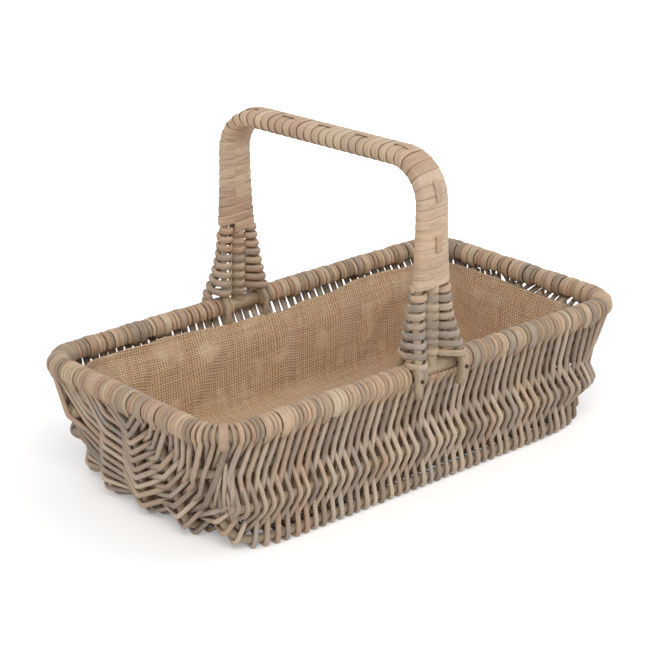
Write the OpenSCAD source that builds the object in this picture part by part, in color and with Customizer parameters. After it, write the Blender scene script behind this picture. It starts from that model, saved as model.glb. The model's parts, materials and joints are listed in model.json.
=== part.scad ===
// Willow trug basket: a rod hoop and nine lengthwise ribs, woven across with
// willow weavers, with a fixed arched handle and a sewn-in hessian liner.
// X runs along the basket, Y across it, Z up. It stands on z = 0.

/* [Rim] */
// Length of the rim between the hoop's centre lines
rim_length = 500; // [440:5:560]
// Width of the rim between the hoop's centre lines
rim_width = 250; // [220:5:280]
// Height of the hoop's centre line above the floor
rim_height = 119; // [105:1:135]
// Corner radius of the hoop's centre line
rim_corner = 31; // [26:1:38]
// Diameter of the hoop rod
hoop_d = 13.6; // [12:0.2:15]

/* [Ribs] */
// Diameter of each rib rod
rib_d = 8; // [7:0.2:9]
// Outward place of the upper side ribs from the middle
upper_rib_y = 113; // [109:1:116]
// Height of the upper side ribs
upper_rib_z = 78; // [72:1:84]
// Outward place of the lower side ribs, which stand proud
lower_rib_y = 122.5; // [119:0.5:125]
// Height of the lower side ribs
lower_rib_z = 45; // [42:1:50]
// Outward place of the base edge ribs
edge_rib_y = 117.5; // [114:0.5:120]
// Outward place of the two inner base ribs
base_rib_y = 59; // [50:1:66]
// Radius at which the base ribs turn up the ends
rib_bend = 20; // [16:1:24]
// Half length of the base at the middle rib
base_half_length = 236; // [230:1:240]

/* [Weavers] */
// Thickness of a willow weaver
weaver_d = 4; // [3.4:0.1:4.2]
// Spacing of the weavers along the rim
weaver_pitch = 4.8; // [4.7:0.05:5.6]
// Clearance left where one rod lies on another
rod_gap = 0.15; // [0.1:0.05:0.3]
// Gap between weavers that lie side by side
crowd_gap = 0.45; // [0.3:0.05:0.8]
// Depth of the groove between two turns of the lapping
turn_groove = 1.1; // [0.6:0.1:1.6]
// Depth to which the underside is worn flat
worn_flat = 0.5; // [0.3:0.1:0.8]
// Half length of the flat under the middle rib
rest_half = 3; // [2:0.5:4]

/* [Handle] */
// Offset of the handle from the middle, towards the left end
handle_offset = 13; // [0:1:20]
// Turn of the handle about the upright axis, in degrees
handle_skew = 4.35; // [0:0.05:6]
// Height of the grip's centre line
grip_height = 313; // [280:1:340]
// Bend radius of the handle's centre line
handle_bend = 38; // [32:1:46]
// Diameter of the handle's core rod
core_d = 13; // [12:0.2:14]
// Diameter of the two rods beside the core
side_rod_d = 8; // [7:0.2:9]
// Outward place of the side rods where they cross the rim
foot_spread = 28; // [26:1:35]
// Height at which the skein binding begins on each leg
binding_start = 200; // [194:1:208]
// Loops in the skein binding
binding_loops = 24; // [16:1:24]
// Gap between one loop of skein and the next
skein_gap = 1.2; // [0.9:0.1:2]
// Thickness of the skein
skein_t = 1.4; // [1:0.1:1.6]
// Rows of fine weaving on each foot
foot_rows = 12; // [8:1:12]
// Thickness of a foot weaver
foot_weaver_d = 3.4; // [2.8:0.1:3.8]

/* [Liner] */
// Thickness of the hessian
liner_t = 1.6; // [1.2:0.1:2.4]
// Height of the liner's top edge
liner_top = 106; // [98:1:107]
// Depth of the turned hem
hem_depth = 12; // [8:1:16]

/* [Hidden] */
$fn = 48;

willow = "#b59f83";
willow_dark = "#8d7a66";
willow_warm = "#c4a27c";
hessian = "#b08b5b";

half_l = rim_length / 2;
half_w = rim_width / 2;
end_run = half_w - rim_corner;
arc_run = rim_corner * PI / 2;
half_s = end_run + arc_run + half_l - rim_corner;
lap_r = hoop_d / 2 + weaver_d + rod_gap;
rib_r = rib_d / 2;
lift = rib_r + weaver_d / 2 + rod_gap;
wrap_lift = lift / cos(25);
base_z = lift + weaver_d / 2 - worn_flat;
rib_top_z = rim_height - lap_r - 2 * rod_gap;
handle_x = -handle_offset;
// The handle stands turned: its far foot lies to the left and its near foot to the right
foot_shift = half_w * tan(handle_skew);
far_foot_x = handle_x - foot_shift;
near_foot_x = handle_x + foot_shift;

// The fan ribs: 0 the middle base rib, 1 the inner base ribs, 2 the edge ribs.
// Each starts under the end rim, comes down the end and turns under the base.
fan_top_s = [4, 30, 60];
fan_top_y = [0, 30, 60];
fan_mid_y = [0, 53, 92];
fan_base_y = [0, base_rib_y, edge_rib_y];
fan_mid_x = [base_half_length, base_half_length - 1, base_half_length - 14];
fan_top_x = half_l - 3;
curve_run = 70;
corner_turn = 0.7;
bend_z = base_z + rib_bend;
bend_len = rib_bend * PI / 2;

function unit(v) = v / norm(v);
function mix(a, b, t) = a + (b - a) * t;
function clamp(t) = min(1, max(0, t));
function mirror_x(p) = [-p[0], p[1], p[2]];
function mirror_y(p) = [p[0], -p[1], p[2]];

// Point and outward direction on the rim, s millimetres from the middle of the left end
function rim_place(s) =
    s < end_run ? [[-half_l, s, rim_height], [-1, 0, 0]] :
    s < end_run + arc_run ?
        let(a = (s - end_run) / rim_corner * 180 / PI, d = [-cos(a), sin(a), 0])
        [[-half_l + rim_corner, end_run, rim_height] + rim_corner * d, d] :
    [[s - half_s, half_w, rim_height], [0, 1, 0]];

// Length of fan rib j down the end, and from its top to the middle of the base
function fan_down(j) = norm([fan_top_x - fan_mid_x[j], fan_mid_y[j] - fan_top_y[j], rib_top_z - bend_z]);
function fan_total(j) = fan_down(j) + bend_len + fan_mid_x[j] - rib_bend;
// Sideways place of fan rib j where it lies x from the middle
function fan_y(j, x) = let(t = clamp((fan_mid_x[j] - x) / curve_run))
    mix(fan_mid_y[j], fan_base_y[j], sqrt(1 - (1 - t) * (1 - t)));
// Point and outward direction at length a down fan rib j
function fan_at(j, a) =
    a < fan_down(j) ?
        let(t = a / fan_down(j))
        [[-mix(fan_top_x, fan_mid_x[j], t), mix(fan_top_y[j], fan_mid_y[j], t), mix(rib_top_z, bend_z, t)],
            unit([-1, j == 2 ? corner_turn * t * t : 0, 0])] :
    a < fan_down(j) + bend_len ?
        let(b = (a - fan_down(j)) / rib_bend * 180 / PI, x = fan_mid_x[j] - rib_bend * (1 - cos(b)))
        [[-x, fan_y(j, x), bend_z - rib_bend * sin(b)],
            unit([-cos(b), j == 2 ? corner_turn : 0, -sin(b)])] :
    let(x = fan_mid_x[j] - rib_bend - (a - fan_down(j) - bend_len))
    [[-x, fan_y(j, x), base_z], unit([0, j == 2 ? corner_turn : 0, -1])];
// Where weaver s crosses fan rib j
function fan_cross(j, s) = fan_at(j, (s - fan_top_s[j]) * fan_total(j) / (half_s - fan_top_s[j]));

// The side ribs run along the sides and end in the corners: 0 upper, 1 lower
side_y = [upper_rib_y, lower_rib_y];
side_z = [upper_rib_z, lower_rib_z];
side_corner = [34, 44];
side_corner_x = [202, 196];
side_lean = [1.02, 1.045];
side_start_s = [end_run + 6, end_run + 36];
side_end_angle = [8, 50];
// Where weaver s crosses side rib j
function side_cross(j, s) =
    let(x = (half_s - s) * side_lean[j])
    x < side_corner_x[j] ? [[-x, side_y[j], side_z[j]], [0, 1, 0]] :
    let(s0 = half_s - side_corner_x[j] / side_lean[j],
        a = mix(side_end_angle[j] + 4, 90, (s - side_start_s[j]) / (s0 - side_start_s[j])),
        d = [-cos(a), sin(a), 0])
    [[-side_corner_x[j], side_y[j] - side_corner[j], side_z[j]] + side_corner[j] * d, d];

// A weaver's stations are [point, outward direction]; side +1 passes outside a rib.
// Which ribs weaver s meets is set by its own place, from, so that a neighbour's
// path can be worked out with the same stations.
function station(c, side, r = lift) = [c[0] + side * r * c[1], c[1]];
function rim_station(s) =
    let(c = rim_place(s), d = unit(0.6 * c[1] + [0, 0, -0.8]))
    [c[0] + (lap_r + weaver_d / 2 + 5 * rod_gap) * d, c[1]];
flat_from = 0.02;
// The edge rib on the flat base is rounded in three steps, or passed inside in one.
// Base weavers keep their slant across the rib, so that neighbours stay parallel.
function edge_stations(s, side, from, slanted) =
    let(c = fan_cross(2, s), p = c[0], m = fan_cross(1, s)[0],
        slant = slanted ? (p[0] - m[0]) / (p[1] - m[1]) : 0)
    fan_cross(2, from)[0][2] > base_z + rib_bend * flat_from ? [station(c, side)] :
    side > 0 ? [for (a = [-2, -50, -100]) let(d = [0, cos(a), sin(a)])
        [p + wrap_lift * (d + [slant * cos(a), 0, 0]), d]] :
    let(d = [0, cos(-23), sin(-23)]) [[p - lift * (d + [slant * cos(-23), 0, 0]), d]];
// Stations from the rim to the lower side rib, and across the middle of the base,
// where the weavers that pass under the middle rib have a short flat to rest on
function rim_stations(s, side, from) = concat([rim_station(s)],
    from > side_start_s[0] ? [station(side_cross(0, s), -side)] : [],
    from > side_start_s[1] ? [station(side_cross(1, s), side)] : []);
function middle_stations(s, side, from) = concat(
    from > fan_top_s[1] + 6 ? [station(fan_cross(1, s), side)] : [],
    let(c = station(fan_cross(0, s), -side)) [[c[0] + [0, side < 0 ? rest_half : 0, 0], c[1]]]);
function end_path(s, side, from) = concat(rim_stations(s, side, from),
    from > fan_top_s[2] + 6 ? [station(fan_cross(2, s), -side)] : [], middle_stations(s, side, from));
function side_path(s, side, from) =
    concat(rim_stations(s, side, from), [edge_stations(s, -side, from, false)[0]]);
function base_path(s, side, from) =
    concat(edge_stations(s, -side, from, true), middle_stations(s, side, from));
function flip_list(p) = [for (i = [len(p) - 1:-1:0]) p[i]];
// A path from the edge to the middle, carried on to the other edge
function whole_path(half) = let(m = len(half) - 1, last = half[m][0][1] > 0 ? m : m - 1)
    concat(half, [for (i = [last:-1:0]) [mirror_y(half[i][0]), mirror_y(half[i][1])]]);

// Tube of square section through stations
function tube_dir(p, i) = unit(i == 0 ? p[1][0] - p[0][0] :
    i == len(p) - 1 ? p[i][0] - p[i - 1][0] :
    unit(p[i][0] - p[i - 1][0]) + unit(p[i + 1][0] - p[i][0]));
// Nothing reaches below the floor: the underside is worn flat there.
// A weaver is narrowed where its neighbour, q, lies closer than its own thickness
function tube_width(p, q, i, crowd) = let(t = tube_dir(p, i), g = q[i][0] - p[i][0])
    max(weaver_d / 3, min(weaver_d, norm(g - (g * t) * t) * weaver_pitch * crowd - crowd_gap));
function tube_ring(p, q, i, crowd) =
    let(t = tube_dir(p, i), n = unit(p[i][1] - (p[i][1] * t) * t), b = cross(t, n),
        w = tube_width(p, q, i, crowd) / 2, h = weaver_d / 2)
    [for (c = [[-1, -1], [1, -1], [1, 1], [-1, 1]])
        let(v = p[i][0] + w * c[0] * b + h * c[1] * n) [v[0], v[1], max(0, v[2])]];
function side_faces(rings, sides) = [for (r = [0:rings - 2]) for (k = [0:sides - 1])
    let(a = r * sides + k, b = r * sides + (k + 1) % sides) each [[a, b, b + sides], [a, b + sides, a + sides]]];
function cap_faces(rings, sides) = let(top = (rings - 1) * sides) concat(
    [for (k = [1:sides - 2]) [0, k + 1, k]],
    [for (k = [1:sides - 2]) [top, top + k, top + k + 1]]);
module tube_from_rings(rings) {
    sides = len(rings[0]);
    polyhedron([for (r = rings) each r], concat(side_faces(len(rings), sides), cap_faces(len(rings), sides)));
}
module weaver(p, q, crowd) {
    tube_from_rings([for (i = [0:len(p) - 1]) tube_ring(p, q, i, crowd)]);
}
// Weavers are thinner where they turn the corners, from the end ribs to the long
// sides, and thinnest where the edge ribs turn under the base
plain_crowd = 0.88;
corner_crowd = 0.55;
bend_crowd = 0.4;
corner_past = 36;
function crowd_at(s) =
    s < fan_top_s[1] - 6 || s > end_run + arc_run + corner_past ? plain_crowd :
    s > fan_top_s[2] + fan_top_y[2] ? bend_crowd : corner_crowd;

// Round rod swept along points
function rod_ring(p, i, r, sides) =
    let(d = unit(i == 0 ? p[1] - p[0] : i == len(p) - 1 ? p[i] - p[i - 1] :
            unit(p[i] - p[i - 1]) + unit(p[i + 1] - p[i])),
        n = unit(cross(d, abs(d[2]) > 0.9 ? [1, 0, 0] : [0, 0, 1])), b = cross(d, n))
    [for (k = [0:sides - 1]) p[i] + r * (cos(360 * k / sides) * n + sin(360 * k / sides) * b)];
module rod(p, d, sides = 8) { tube_from_rings([for (i = [0:len(p) - 1]) rod_ring(p, i, d / 2, sides)]); }

// Weavers: counted from the left end, every other one on the opposite side of each rib
weaver_half = floor((half_s - 10) / weaver_pitch);
weaver_s = [for (i = [0:weaver_half - 1]) half_s - (weaver_half - i - 0.5) * weaver_pitch];
end_count = len([for (s = weaver_s) if (s < side_start_s[1] - 4) s]);
function weaver_side(i, right) = ((i + (right ? 1 : 0)) % 2 == 0) ? 1 : -1;

module end_weavers(right) {
    for (i = [0:end_count - 1]) let(s = weaver_s[i], side = weaver_side(i, right))
        weaver(whole_path(end_path(s, side, s)), whole_path(end_path(s + 1, side, s)), crowd_at(s));
}
module side_weavers(right) {
    for (i = [end_count:weaver_half - 1]) let(s = weaver_s[i], side = weaver_side(i, right))
        weaver(side_path(s, side, s), side_path(s + 1, side, s), crowd_at(s));
}
// Where the ribs turn, a base weaver crosses its neighbours, so every other one there
// is kept apart from the rest of the base
turn_count = end_count + 10;
module base_weavers(right, turns) {
    for (i = [end_count:weaver_half - 1]) let(s = weaver_s[i], side = weaver_side(i, right))
        if ((i < turn_count && side > 0) == turns)
            weaver(whole_path(base_path(s, side, s)), whole_path(base_path(s + 1, side, s)), crowd_at(s));
}
module both_ends() {
    children(0);
    mirror([1, 0, 0]) children(1);
}
module weavers_far_side() {
    color(willow) both_ends() {
        side_weavers(false);
        side_weavers(true);
    }
}
module weavers_near_side() { mirror([0, 1, 0]) weavers_far_side(); }
module weavers_base() {
    color(willow) both_ends() {
        base_weavers(false, false);
        base_weavers(true, false);
    }
}
module weavers_base_turns() {
    color(willow) both_ends() {
        base_weavers(false, true);
        base_weavers(true, true);
    }
}
module weavers_left_end() { color(willow) end_weavers(false); }
module weavers_right_end() { color(willow) mirror([1, 0, 0]) end_weavers(true); }

// Rim hoop and the lapping of weaver ends round it
module quarter(ro, ri) {
    rotate_extrude(angle = 90) translate([rim_corner, 0]) ring_section(ro, ri);
}
module ring_section(ro, ri) {
    difference() {
        circle(ro);
        if (ri > 0) circle(ri);
    }
}
module straight(len, ro, ri) { linear_extrude(len) ring_section(ro, ri); }
module end_turn(ro, ri) {
    // The left end of the hoop with its two corners
    translate([-half_l, end_run, rim_height]) rotate([90, 0, 0]) straight(2 * end_run, ro, ri);
    for (m = [0, 1]) mirror([0, m, 0])
        translate([-half_l + rim_corner, end_run, rim_height]) rotate([0, 0, 90]) quarter(ro, ri);
}
module side_run(x0, x1, ro, ri) {
    translate([x0, half_w, rim_height]) rotate([0, 90, 0]) straight(x1 - x0, ro, ri);
}
corner_x = half_l - rim_corner;
// The hoop is left bare from just left of a leg to well right of it
bare_left = core_d / 2 + 3;
bare_right = core_d / 2 + 16;
pin_d = 1.8;
pin_z = rim_height;
stake_y = half_w + lap_r + side_rod_d / 2 + rod_gap;
module pin_holes(foot_x) {
    for (s = [-1, 1]) translate([foot_x + s * foot_spread, half_w, pin_z])
        rotate([-90, 0, 0]) cylinder(h = 40, d = pin_d, $fn = 24);
}
module rim_hoop() {
    color(willow_dark) difference() {
        union() {
            for (m = [0, 1]) mirror([m, 0, 0]) end_turn(hoop_d / 2, 0);
            for (m = [0, 1]) mirror([0, m, 0]) side_run(-corner_x, corner_x, hoop_d / 2, 0);
        }
        pin_holes(far_foot_x);
        mirror([0, 1, 0]) pin_holes(near_foot_x);
    }
}
// The lapping: two weavers' turns lie between one groove and the next
module groove_at(s) {
    place = rim_place(s);
    translate(place[0]) rotate([0, 0, atan2(place[1][1], place[1][0])]) rotate([90, 0, 0]) rotate_extrude()
        polygon([[lap_r - turn_groove, 0], [lap_r + 1, -1 - turn_groove], [lap_r + 1, 1 + turn_groove]]);
}
module grooves(from, to) {
    for (s = [half_s - weaver_pitch : -2 * weaver_pitch : 0]) if (s > from && s < to) groove_at(s);
}
module rim_lapping(foot_x) {
    color(willow_warm) difference() {
        union() {
            side_run(-corner_x, foot_x - bare_left, lap_r, hoop_d / 2);
            side_run(foot_x + bare_right, corner_x, lap_r, hoop_d / 2);
        }
        pin_holes(foot_x);
        for (m = [0, 1]) mirror([m, 0, 0]) grooves(end_run + arc_run + 1, half_s);
    }
}
module rim_lapping_far() { rim_lapping(far_foot_x); }
module rim_lapping_near() { mirror([0, 1, 0]) rim_lapping(near_foot_x); }
module rim_lapping_left_end() {
    color(willow_warm) difference() {
        end_turn(lap_r, hoop_d / 2);
        for (m = [0, 1]) mirror([0, m, 0]) grooves(0, end_run + arc_run - 1);
    }
}
module rim_lapping_right_end() { mirror([1, 0, 0]) rim_lapping_left_end(); }

// Ribs
rib_steps = 7;
function fan_path(j) =
    let(down = fan_down(j), run = down + bend_len,
        half = concat([for (a = [0, down * 0.5, down]) fan_at(j, a)[0]],
            [for (k = [1:4]) fan_at(j, down + bend_len * k / 4)[0]],
            [for (k = [1:rib_steps]) fan_at(j, run + curve_run * k / rib_steps)[0]]))
    concat(half, [for (i = [len(half) - 1:-1:0]) mirror_x(half[i])]);
module fan_rib(j) { color(willow_dark) rod(fan_path(j), rib_d, 6); }
module base_rib_middle() {
    reach = base_half_length - rib_bend;
    tilt = atan((fan_top_x - base_half_length) / (rib_top_z - bend_z));
    color(willow_dark) {
        translate([-reach, 0, base_z]) rotate([0, 90, 0]) cylinder(h = 2 * reach, r = rib_r);
        for (m = [0, 1]) mirror([m, 0, 0]) {
            translate([-reach, 0, bend_z]) rotate([90, 0, 0]) rotate([0, 0, 180])
                rotate_extrude(angle = 90) translate([rib_bend, 0]) circle(rib_r);
            translate([-base_half_length, 0, bend_z]) rotate([0, -tilt, 0])
                cylinder(h = (rib_top_z - bend_z) / cos(tilt) - 1, r = rib_r);
        }
    }
}
module base_rib_far() { fan_rib(1); }
module base_rib_near() { mirror([0, 1, 0]) fan_rib(1); }
module base_edge_rib_far() { fan_rib(2); }
module base_edge_rib_near() { mirror([0, 1, 0]) fan_rib(2); }
module side_rib(j) {
    color(willow_dark) translate([0, 0, side_z[j]]) {
        translate([-side_corner_x[j], side_y[j], 0]) rotate([0, 90, 0])
            cylinder(h = 2 * side_corner_x[j], r = rib_r);
        for (m = [0, 1]) mirror([m, 0, 0])
            translate([-side_corner_x[j], side_y[j] - side_corner[j], 0]) rotate([0, 0, 90])
                rotate_extrude(angle = 90 - side_end_angle[j]) translate([side_corner[j], 0]) circle(rib_r);
    }
}
module upper_side_rib_far() { side_rib(0); }
module upper_side_rib_near() { mirror([0, 1, 0]) side_rib(0); }
module lower_side_rib_far() { side_rib(1); }
module lower_side_rib_near() { mirror([0, 1, 0]) side_rib(1); }

// Handle: u runs along its centre line from the far leg's foot to the near leg's
foot_z = rim_height + hoop_d / 2;
leg_run = grip_height - handle_bend - foot_z;
// Rounded to a tenth, so that the core's pieces meet exactly
arch_half_w = round(10 * half_w / cos(handle_skew)) / 10;
grip_run = 2 * (arch_half_w - handle_bend);
turn_run = handle_bend * PI / 2;
arch_run = 2 * leg_run + 2 * turn_run + grip_run;
// Place y along the arch and height z as a point, and a direction in the arch's plane
function arch_point(y, z) = [handle_x - y * sin(handle_skew), y * cos(handle_skew), z];
function arch_way(y, z) = [-y * sin(handle_skew), y * cos(handle_skew), z];
// A point turned half way round the handle's upright axis, onto the other leg
function other_leg(p) = [2 * handle_x - p[0], -p[1], p[2]];
// Centre point and upward direction of the arch at u
function arch_half(u) =
    u < leg_run ? [arch_point(arch_half_w, foot_z + u), arch_way(1, 0)] :
    u < leg_run + turn_run ?
        let(a = (u - leg_run) / handle_bend * 180 / PI, r = handle_bend)
        [arch_point(arch_half_w - r + r * cos(a), grip_height - r + r * sin(a)), arch_way(cos(a), sin(a))] :
    [arch_point(arch_half_w - handle_bend - (u - leg_run - turn_run), grip_height), [0, 0, 1]];
function arch_at(u) = u < arch_run / 2 ? arch_half(u) :
    let(c = arch_half(arch_run - u)) [other_leg(c[0]), [-c[1][0], -c[1][1], c[1][2]]];
// Spread of the side rods from the core at u
grip_spread = core_d / 2 + side_rod_d / 2 + rod_gap;
function spread_at(u) = let(v = min(u, arch_run - u), t = clamp((leg_run + 10 - v) / (leg_run + 10)))
    grip_spread + (foot_spread - 1 - grip_spread) * pow(t, 2.2);
module handle_core() {
    color(willow) difference() {
        translate([handle_x, 0, 0]) rotate([0, 0, handle_skew]) {
            for (m = [0, 1]) mirror([0, m, 0]) {
                translate([0, arch_half_w, foot_z - hoop_d / 2]) cylinder(h = leg_run + hoop_d / 2, d = core_d);
                translate([0, arch_half_w - handle_bend, grip_height - handle_bend]) rotate([90, 0, 90])
                    rotate_extrude(angle = 90) translate([handle_bend, 0]) circle(d = core_d);
            }
            translate([0, grip_run / 2, grip_height]) rotate([90, 0, 0]) cylinder(h = grip_run, d = core_d);
        }
        for (m = [0, 1]) mirror([0, m, 0])
            side_run(far_foot_x - core_d, near_foot_x + core_d, hoop_d / 2 + rod_gap, 0);
        translate([far_foot_x - core_d, -half_w - core_d, 0])
            cube([2 * (core_d + foot_shift), rim_width + 2 * core_d, rim_height]);
    }
}
// The side rods leave the core's plane at the feet, to pass outside the rim
stake_tip_z = 93;
function side_rod_half(s) =
    let(foot = [[far_foot_x + s * (foot_spread + 3), stake_y - 3, stake_tip_z],
            [far_foot_x + s * (foot_spread + 1), stake_y, rim_height - 8],
            [far_foot_x + s * foot_spread, stake_y, rim_height + 6]],
        leg = [for (u = [16, 30, 44, 60, 76, 92, 108, 124])
            arch_at(u)[0] + [s * spread_at(u), max(0, stake_y - half_w) * pow(clamp(1 - u / 60), 1.4), 0]],
        turn = [for (k = [0:5]) let(u = leg_run + turn_run * k / 5) arch_at(u)[0] + [s * spread_at(u), 0, 0]])
    concat(foot, leg, turn);
function side_rod_points(s) = let(half = side_rod_half(s), other = side_rod_half(-s))
    concat(half, [for (i = [len(other) - 1:-1:0]) other_leg(other[i])]);
module side_rod(s) {
    color(willow) difference() {
        rod(side_rod_points(s), side_rod_d, 6);
        pin_holes(far_foot_x);
        mirror([0, 1, 0]) pin_holes(near_foot_x);
    }
}
module handle_side_rod_left() { side_rod(-1); }
module handle_side_rod_right() { side_rod(1); }
// Short stakes pushed down inside the rim, behind each side rod
inner_y = half_w - lap_r - side_rod_d / 2 - 2 * rod_gap;
inner_d = side_rod_d - 2;
inner_top_z = rim_height + 70;
function inner_lean(z) = clamp((z - rim_height - 6) / (inner_top_z - rim_height - 6));
function inner_x(z) = foot_spread - 7 * inner_lean(z);
function inner_back(z) = inner_y - half_w + 8 * inner_lean(z);
module inner_pair(foot_x) {
    for (s = [-1, 1]) rod([for (z = [stake_tip_z + 3, rim_height + 6, inner_top_z])
        [foot_x + s * inner_x(z), half_w + inner_back(z), z]], inner_d, 8);
}
module handle_inner_stakes() {
    color(willow_dark) {
        inner_pair(far_foot_x);
        mirror([0, 1, 0]) inner_pair(near_foot_x);
    }
}

// Skein binding: one strip wound round the core and side rods
wind_from = binding_start - foot_z;
wind_run = arch_run - 2 * wind_from;
wind_pitch = wind_run / (binding_loops + 1);
wind_rings = 10;
oval_x = 5.6;
oval_t = core_d / 2 + skein_t / 2 + 0.4;
// Point of the strip at arch position u, turn angle a and height h above its middle
function wind_point(u, a, h) =
    let(c = arch_at(u), rx = spread_at(u) + oval_x + h, rt = oval_t + h)
    c[0] + rx * cos(a) * [1, 0, 0] + rt * sin(a) * c[1];
function wind_u(k) = wind_from + wind_pitch / 2 + wind_pitch * k / wind_rings;
half_skein = (wind_pitch - skein_gap) / 2;
function wind_ring(k) =
    let(u = wind_u(k), a = 360 * k / wind_rings, w = half_skein, h = skein_t / 2)
    [wind_point(u - w, a, 0), wind_point(u - w * 0.9, a, -h), wind_point(u + w * 0.9, a, -h),
        wind_point(u + w, a, 0), wind_point(u + w * 0.9, a, h), wind_point(u - w * 0.9, a, h)];
wind_count = binding_loops * wind_rings;
// Least gap between one loop and the next, measured edge to edge
wind_gap = min([for (k = [0:wind_count - wind_rings])
    norm(wind_ring(k)[3] - wind_ring(k + wind_rings)[0])]);
echo(least_gap_between_skein_loops = wind_gap);
module handle_binding() {
    color(willow_warm) tube_from_rings([for (k = [0:wind_count]) wind_ring(k)]);
}
listing_w = 7;
listing_t = 0.9;
module handle_listing_strip() {
    // Flat strip laid along the top of the grip, over the binding
    color(willow) translate([handle_x, 0, grip_height + oval_t + skein_t / 2 + 2 * rod_gap])
        rotate([0, 0, handle_skew]) translate([-listing_w / 2, -grip_run / 2, 0])
            cube([listing_w, grip_run, listing_t]);
}

// Fine weaving on the feet: each row is one pass in front of and behind the stakes
row_pitch = (binding_start - 6 - rim_height - lap_r) / foot_rows;
function row_z(k) = rim_height + lap_r + 1.5 + k * row_pitch;
module foot_row(k, foot_x) {
    z = row_z(k);
    u = z + foot_weaver_d / 2 - foot_z;
    x = spread_at(u);
    wrap = side_rod_d / 2 + foot_weaver_d;
    back = max(0, stake_y - half_w) * pow(clamp(1 - u / 60), 1.4);
    front = max(0, 5 - u * 0.08);
    translate([foot_x, half_w, z]) linear_extrude(foot_weaver_d) difference() {
        union() {
            for (s = [-1, 1]) translate([s * x, back]) circle(wrap);
            for (s = [-1, 1]) translate([s * x, -front - 8]) circle(wrap - 1);
            for (s = [-1, 1]) translate([s * x - wrap, -front - 8]) square([2 * wrap, front + back + 8]);
            circle(core_d / 2 + foot_weaver_d);
            translate([-x, -foot_weaver_d]) square([2 * x, 2 * foot_weaver_d]);
        }
        circle(core_d / 2 + rod_gap);
        for (s = [-1, 1]) {
            translate([s * x, back]) circle(side_rod_d / 2 + 4 * rod_gap);
            translate([s * inner_x(z), inner_back(z)]) circle(side_rod_d / 2 - 1 + 4 * rod_gap);
        }
    }
}
module foot_weaving(foot_x) {
    color(willow_warm) for (k = [0:foot_rows - 1]) foot_row(k, foot_x);
}
module foot_weaving_far() { foot_weaving(far_foot_x); }
module foot_weaving_near() { mirror([0, 1, 0]) foot_weaving(near_foot_x); }
module pin_pair(foot_x) {
    for (s = [-1, 1]) translate([foot_x + s * foot_spread, half_w + 1, pin_z]) rotate([-90, 0, 0]) {
        cylinder(h = stake_y + side_rod_d / 2 - half_w - 1, d = pin_d, $fn = 24);
        translate([0, 0, stake_y + side_rod_d / 2 - half_w - 1]) cylinder(h = 1.2, d = 3.6, $fn = 24);
    }
}
module foot_pins() {
    color("#3c3632") {
        pin_pair(far_foot_x);
        mirror([0, 1, 0]) pin_pair(near_foot_x);
    }
}

// Hessian liner: a bag sewn in below the rim
liner_y = upper_rib_y - lift - weaver_d / 2 - 2 * rod_gap;
liner_base_z = base_z + lift + weaver_d / 2 + 2 * rod_gap;
liner_x_top = fan_top_x - lift - weaver_d / 2 - 2 * rod_gap;
liner_x_base = fan_mid_x[0] - lift - weaver_d / 2 - 2 * rod_gap;
liner_corner = 40;
liner_foot_corner = 80;
liner_foot = 10;
module slab(x, y, r, z) {
    translate([0, 0, z]) linear_extrude(0.01) hull()
        for (i = [-1, 1]) for (j = [-1, 1]) translate([i * (x - r), j * (y - r)]) circle(r, $fn = 32);
}
module bag(inset, z_low, z_high) {
    hull() {
        slab(liner_x_base - liner_foot - inset, liner_y - inset, liner_foot_corner, z_low);
        slab(liner_x_base - inset, liner_y - inset, liner_foot_corner, z_low + liner_foot);
        slab(liner_x_top - inset, liner_y - inset, liner_corner - inset, z_high);
    }
}
module liner() {
    color(hessian) difference() {
        bag(0, liner_base_z, liner_top);
        bag(liner_t, liner_base_z + liner_t, liner_top + 1);
    }
}
module liner_hem() {
    color(hessian) difference() {
        intersection() {
            bag(liner_t + rod_gap, liner_base_z, liner_top);
            translate([-half_l, -half_w, liner_top - hem_depth]) cube([rim_length, rim_width, hem_depth]);
        }
        bag(liner_t * 2, liner_base_z, liner_top + 1);
    }
}
stitch_l = 7;
stitch_d = 1;
stitch_count = 5;
module liner_stitches() {
    color("#d8c7a4") for (m = [0, 1]) mirror([0, m, 0]) for (k = [0:stitch_count - 1])
        translate([(k - (stitch_count - 1) / 2) * 84 - stitch_l / 2,
            liner_y - liner_t - stitch_d / 2 - 2 * rod_gap, upper_rib_z])
            rotate([0, 90, 0]) cylinder(h = stitch_l, d = stitch_d, $fn = 16);
}

rim_hoop();
rim_lapping_near();
rim_lapping_far();
rim_lapping_left_end();
rim_lapping_right_end();
upper_side_rib_near();
upper_side_rib_far();
lower_side_rib_near();
lower_side_rib_far();
base_edge_rib_near();
base_edge_rib_far();
base_rib_near();
base_rib_middle();
base_rib_far();
weavers_near_side();
weavers_far_side();
weavers_base();
weavers_base_turns();
weavers_left_end();
weavers_right_end();
handle_core();
handle_side_rod_left();
handle_side_rod_right();
handle_inner_stakes();
handle_binding();
handle_listing_strip();
foot_weaving_near();
foot_weaving_far();
foot_pins();
liner();
liner_hem();
liner_stitches();
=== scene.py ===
"""Looks of a willow trug basket: lapped rim, woven sides and base, bound handle and hessian liner."""

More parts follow.
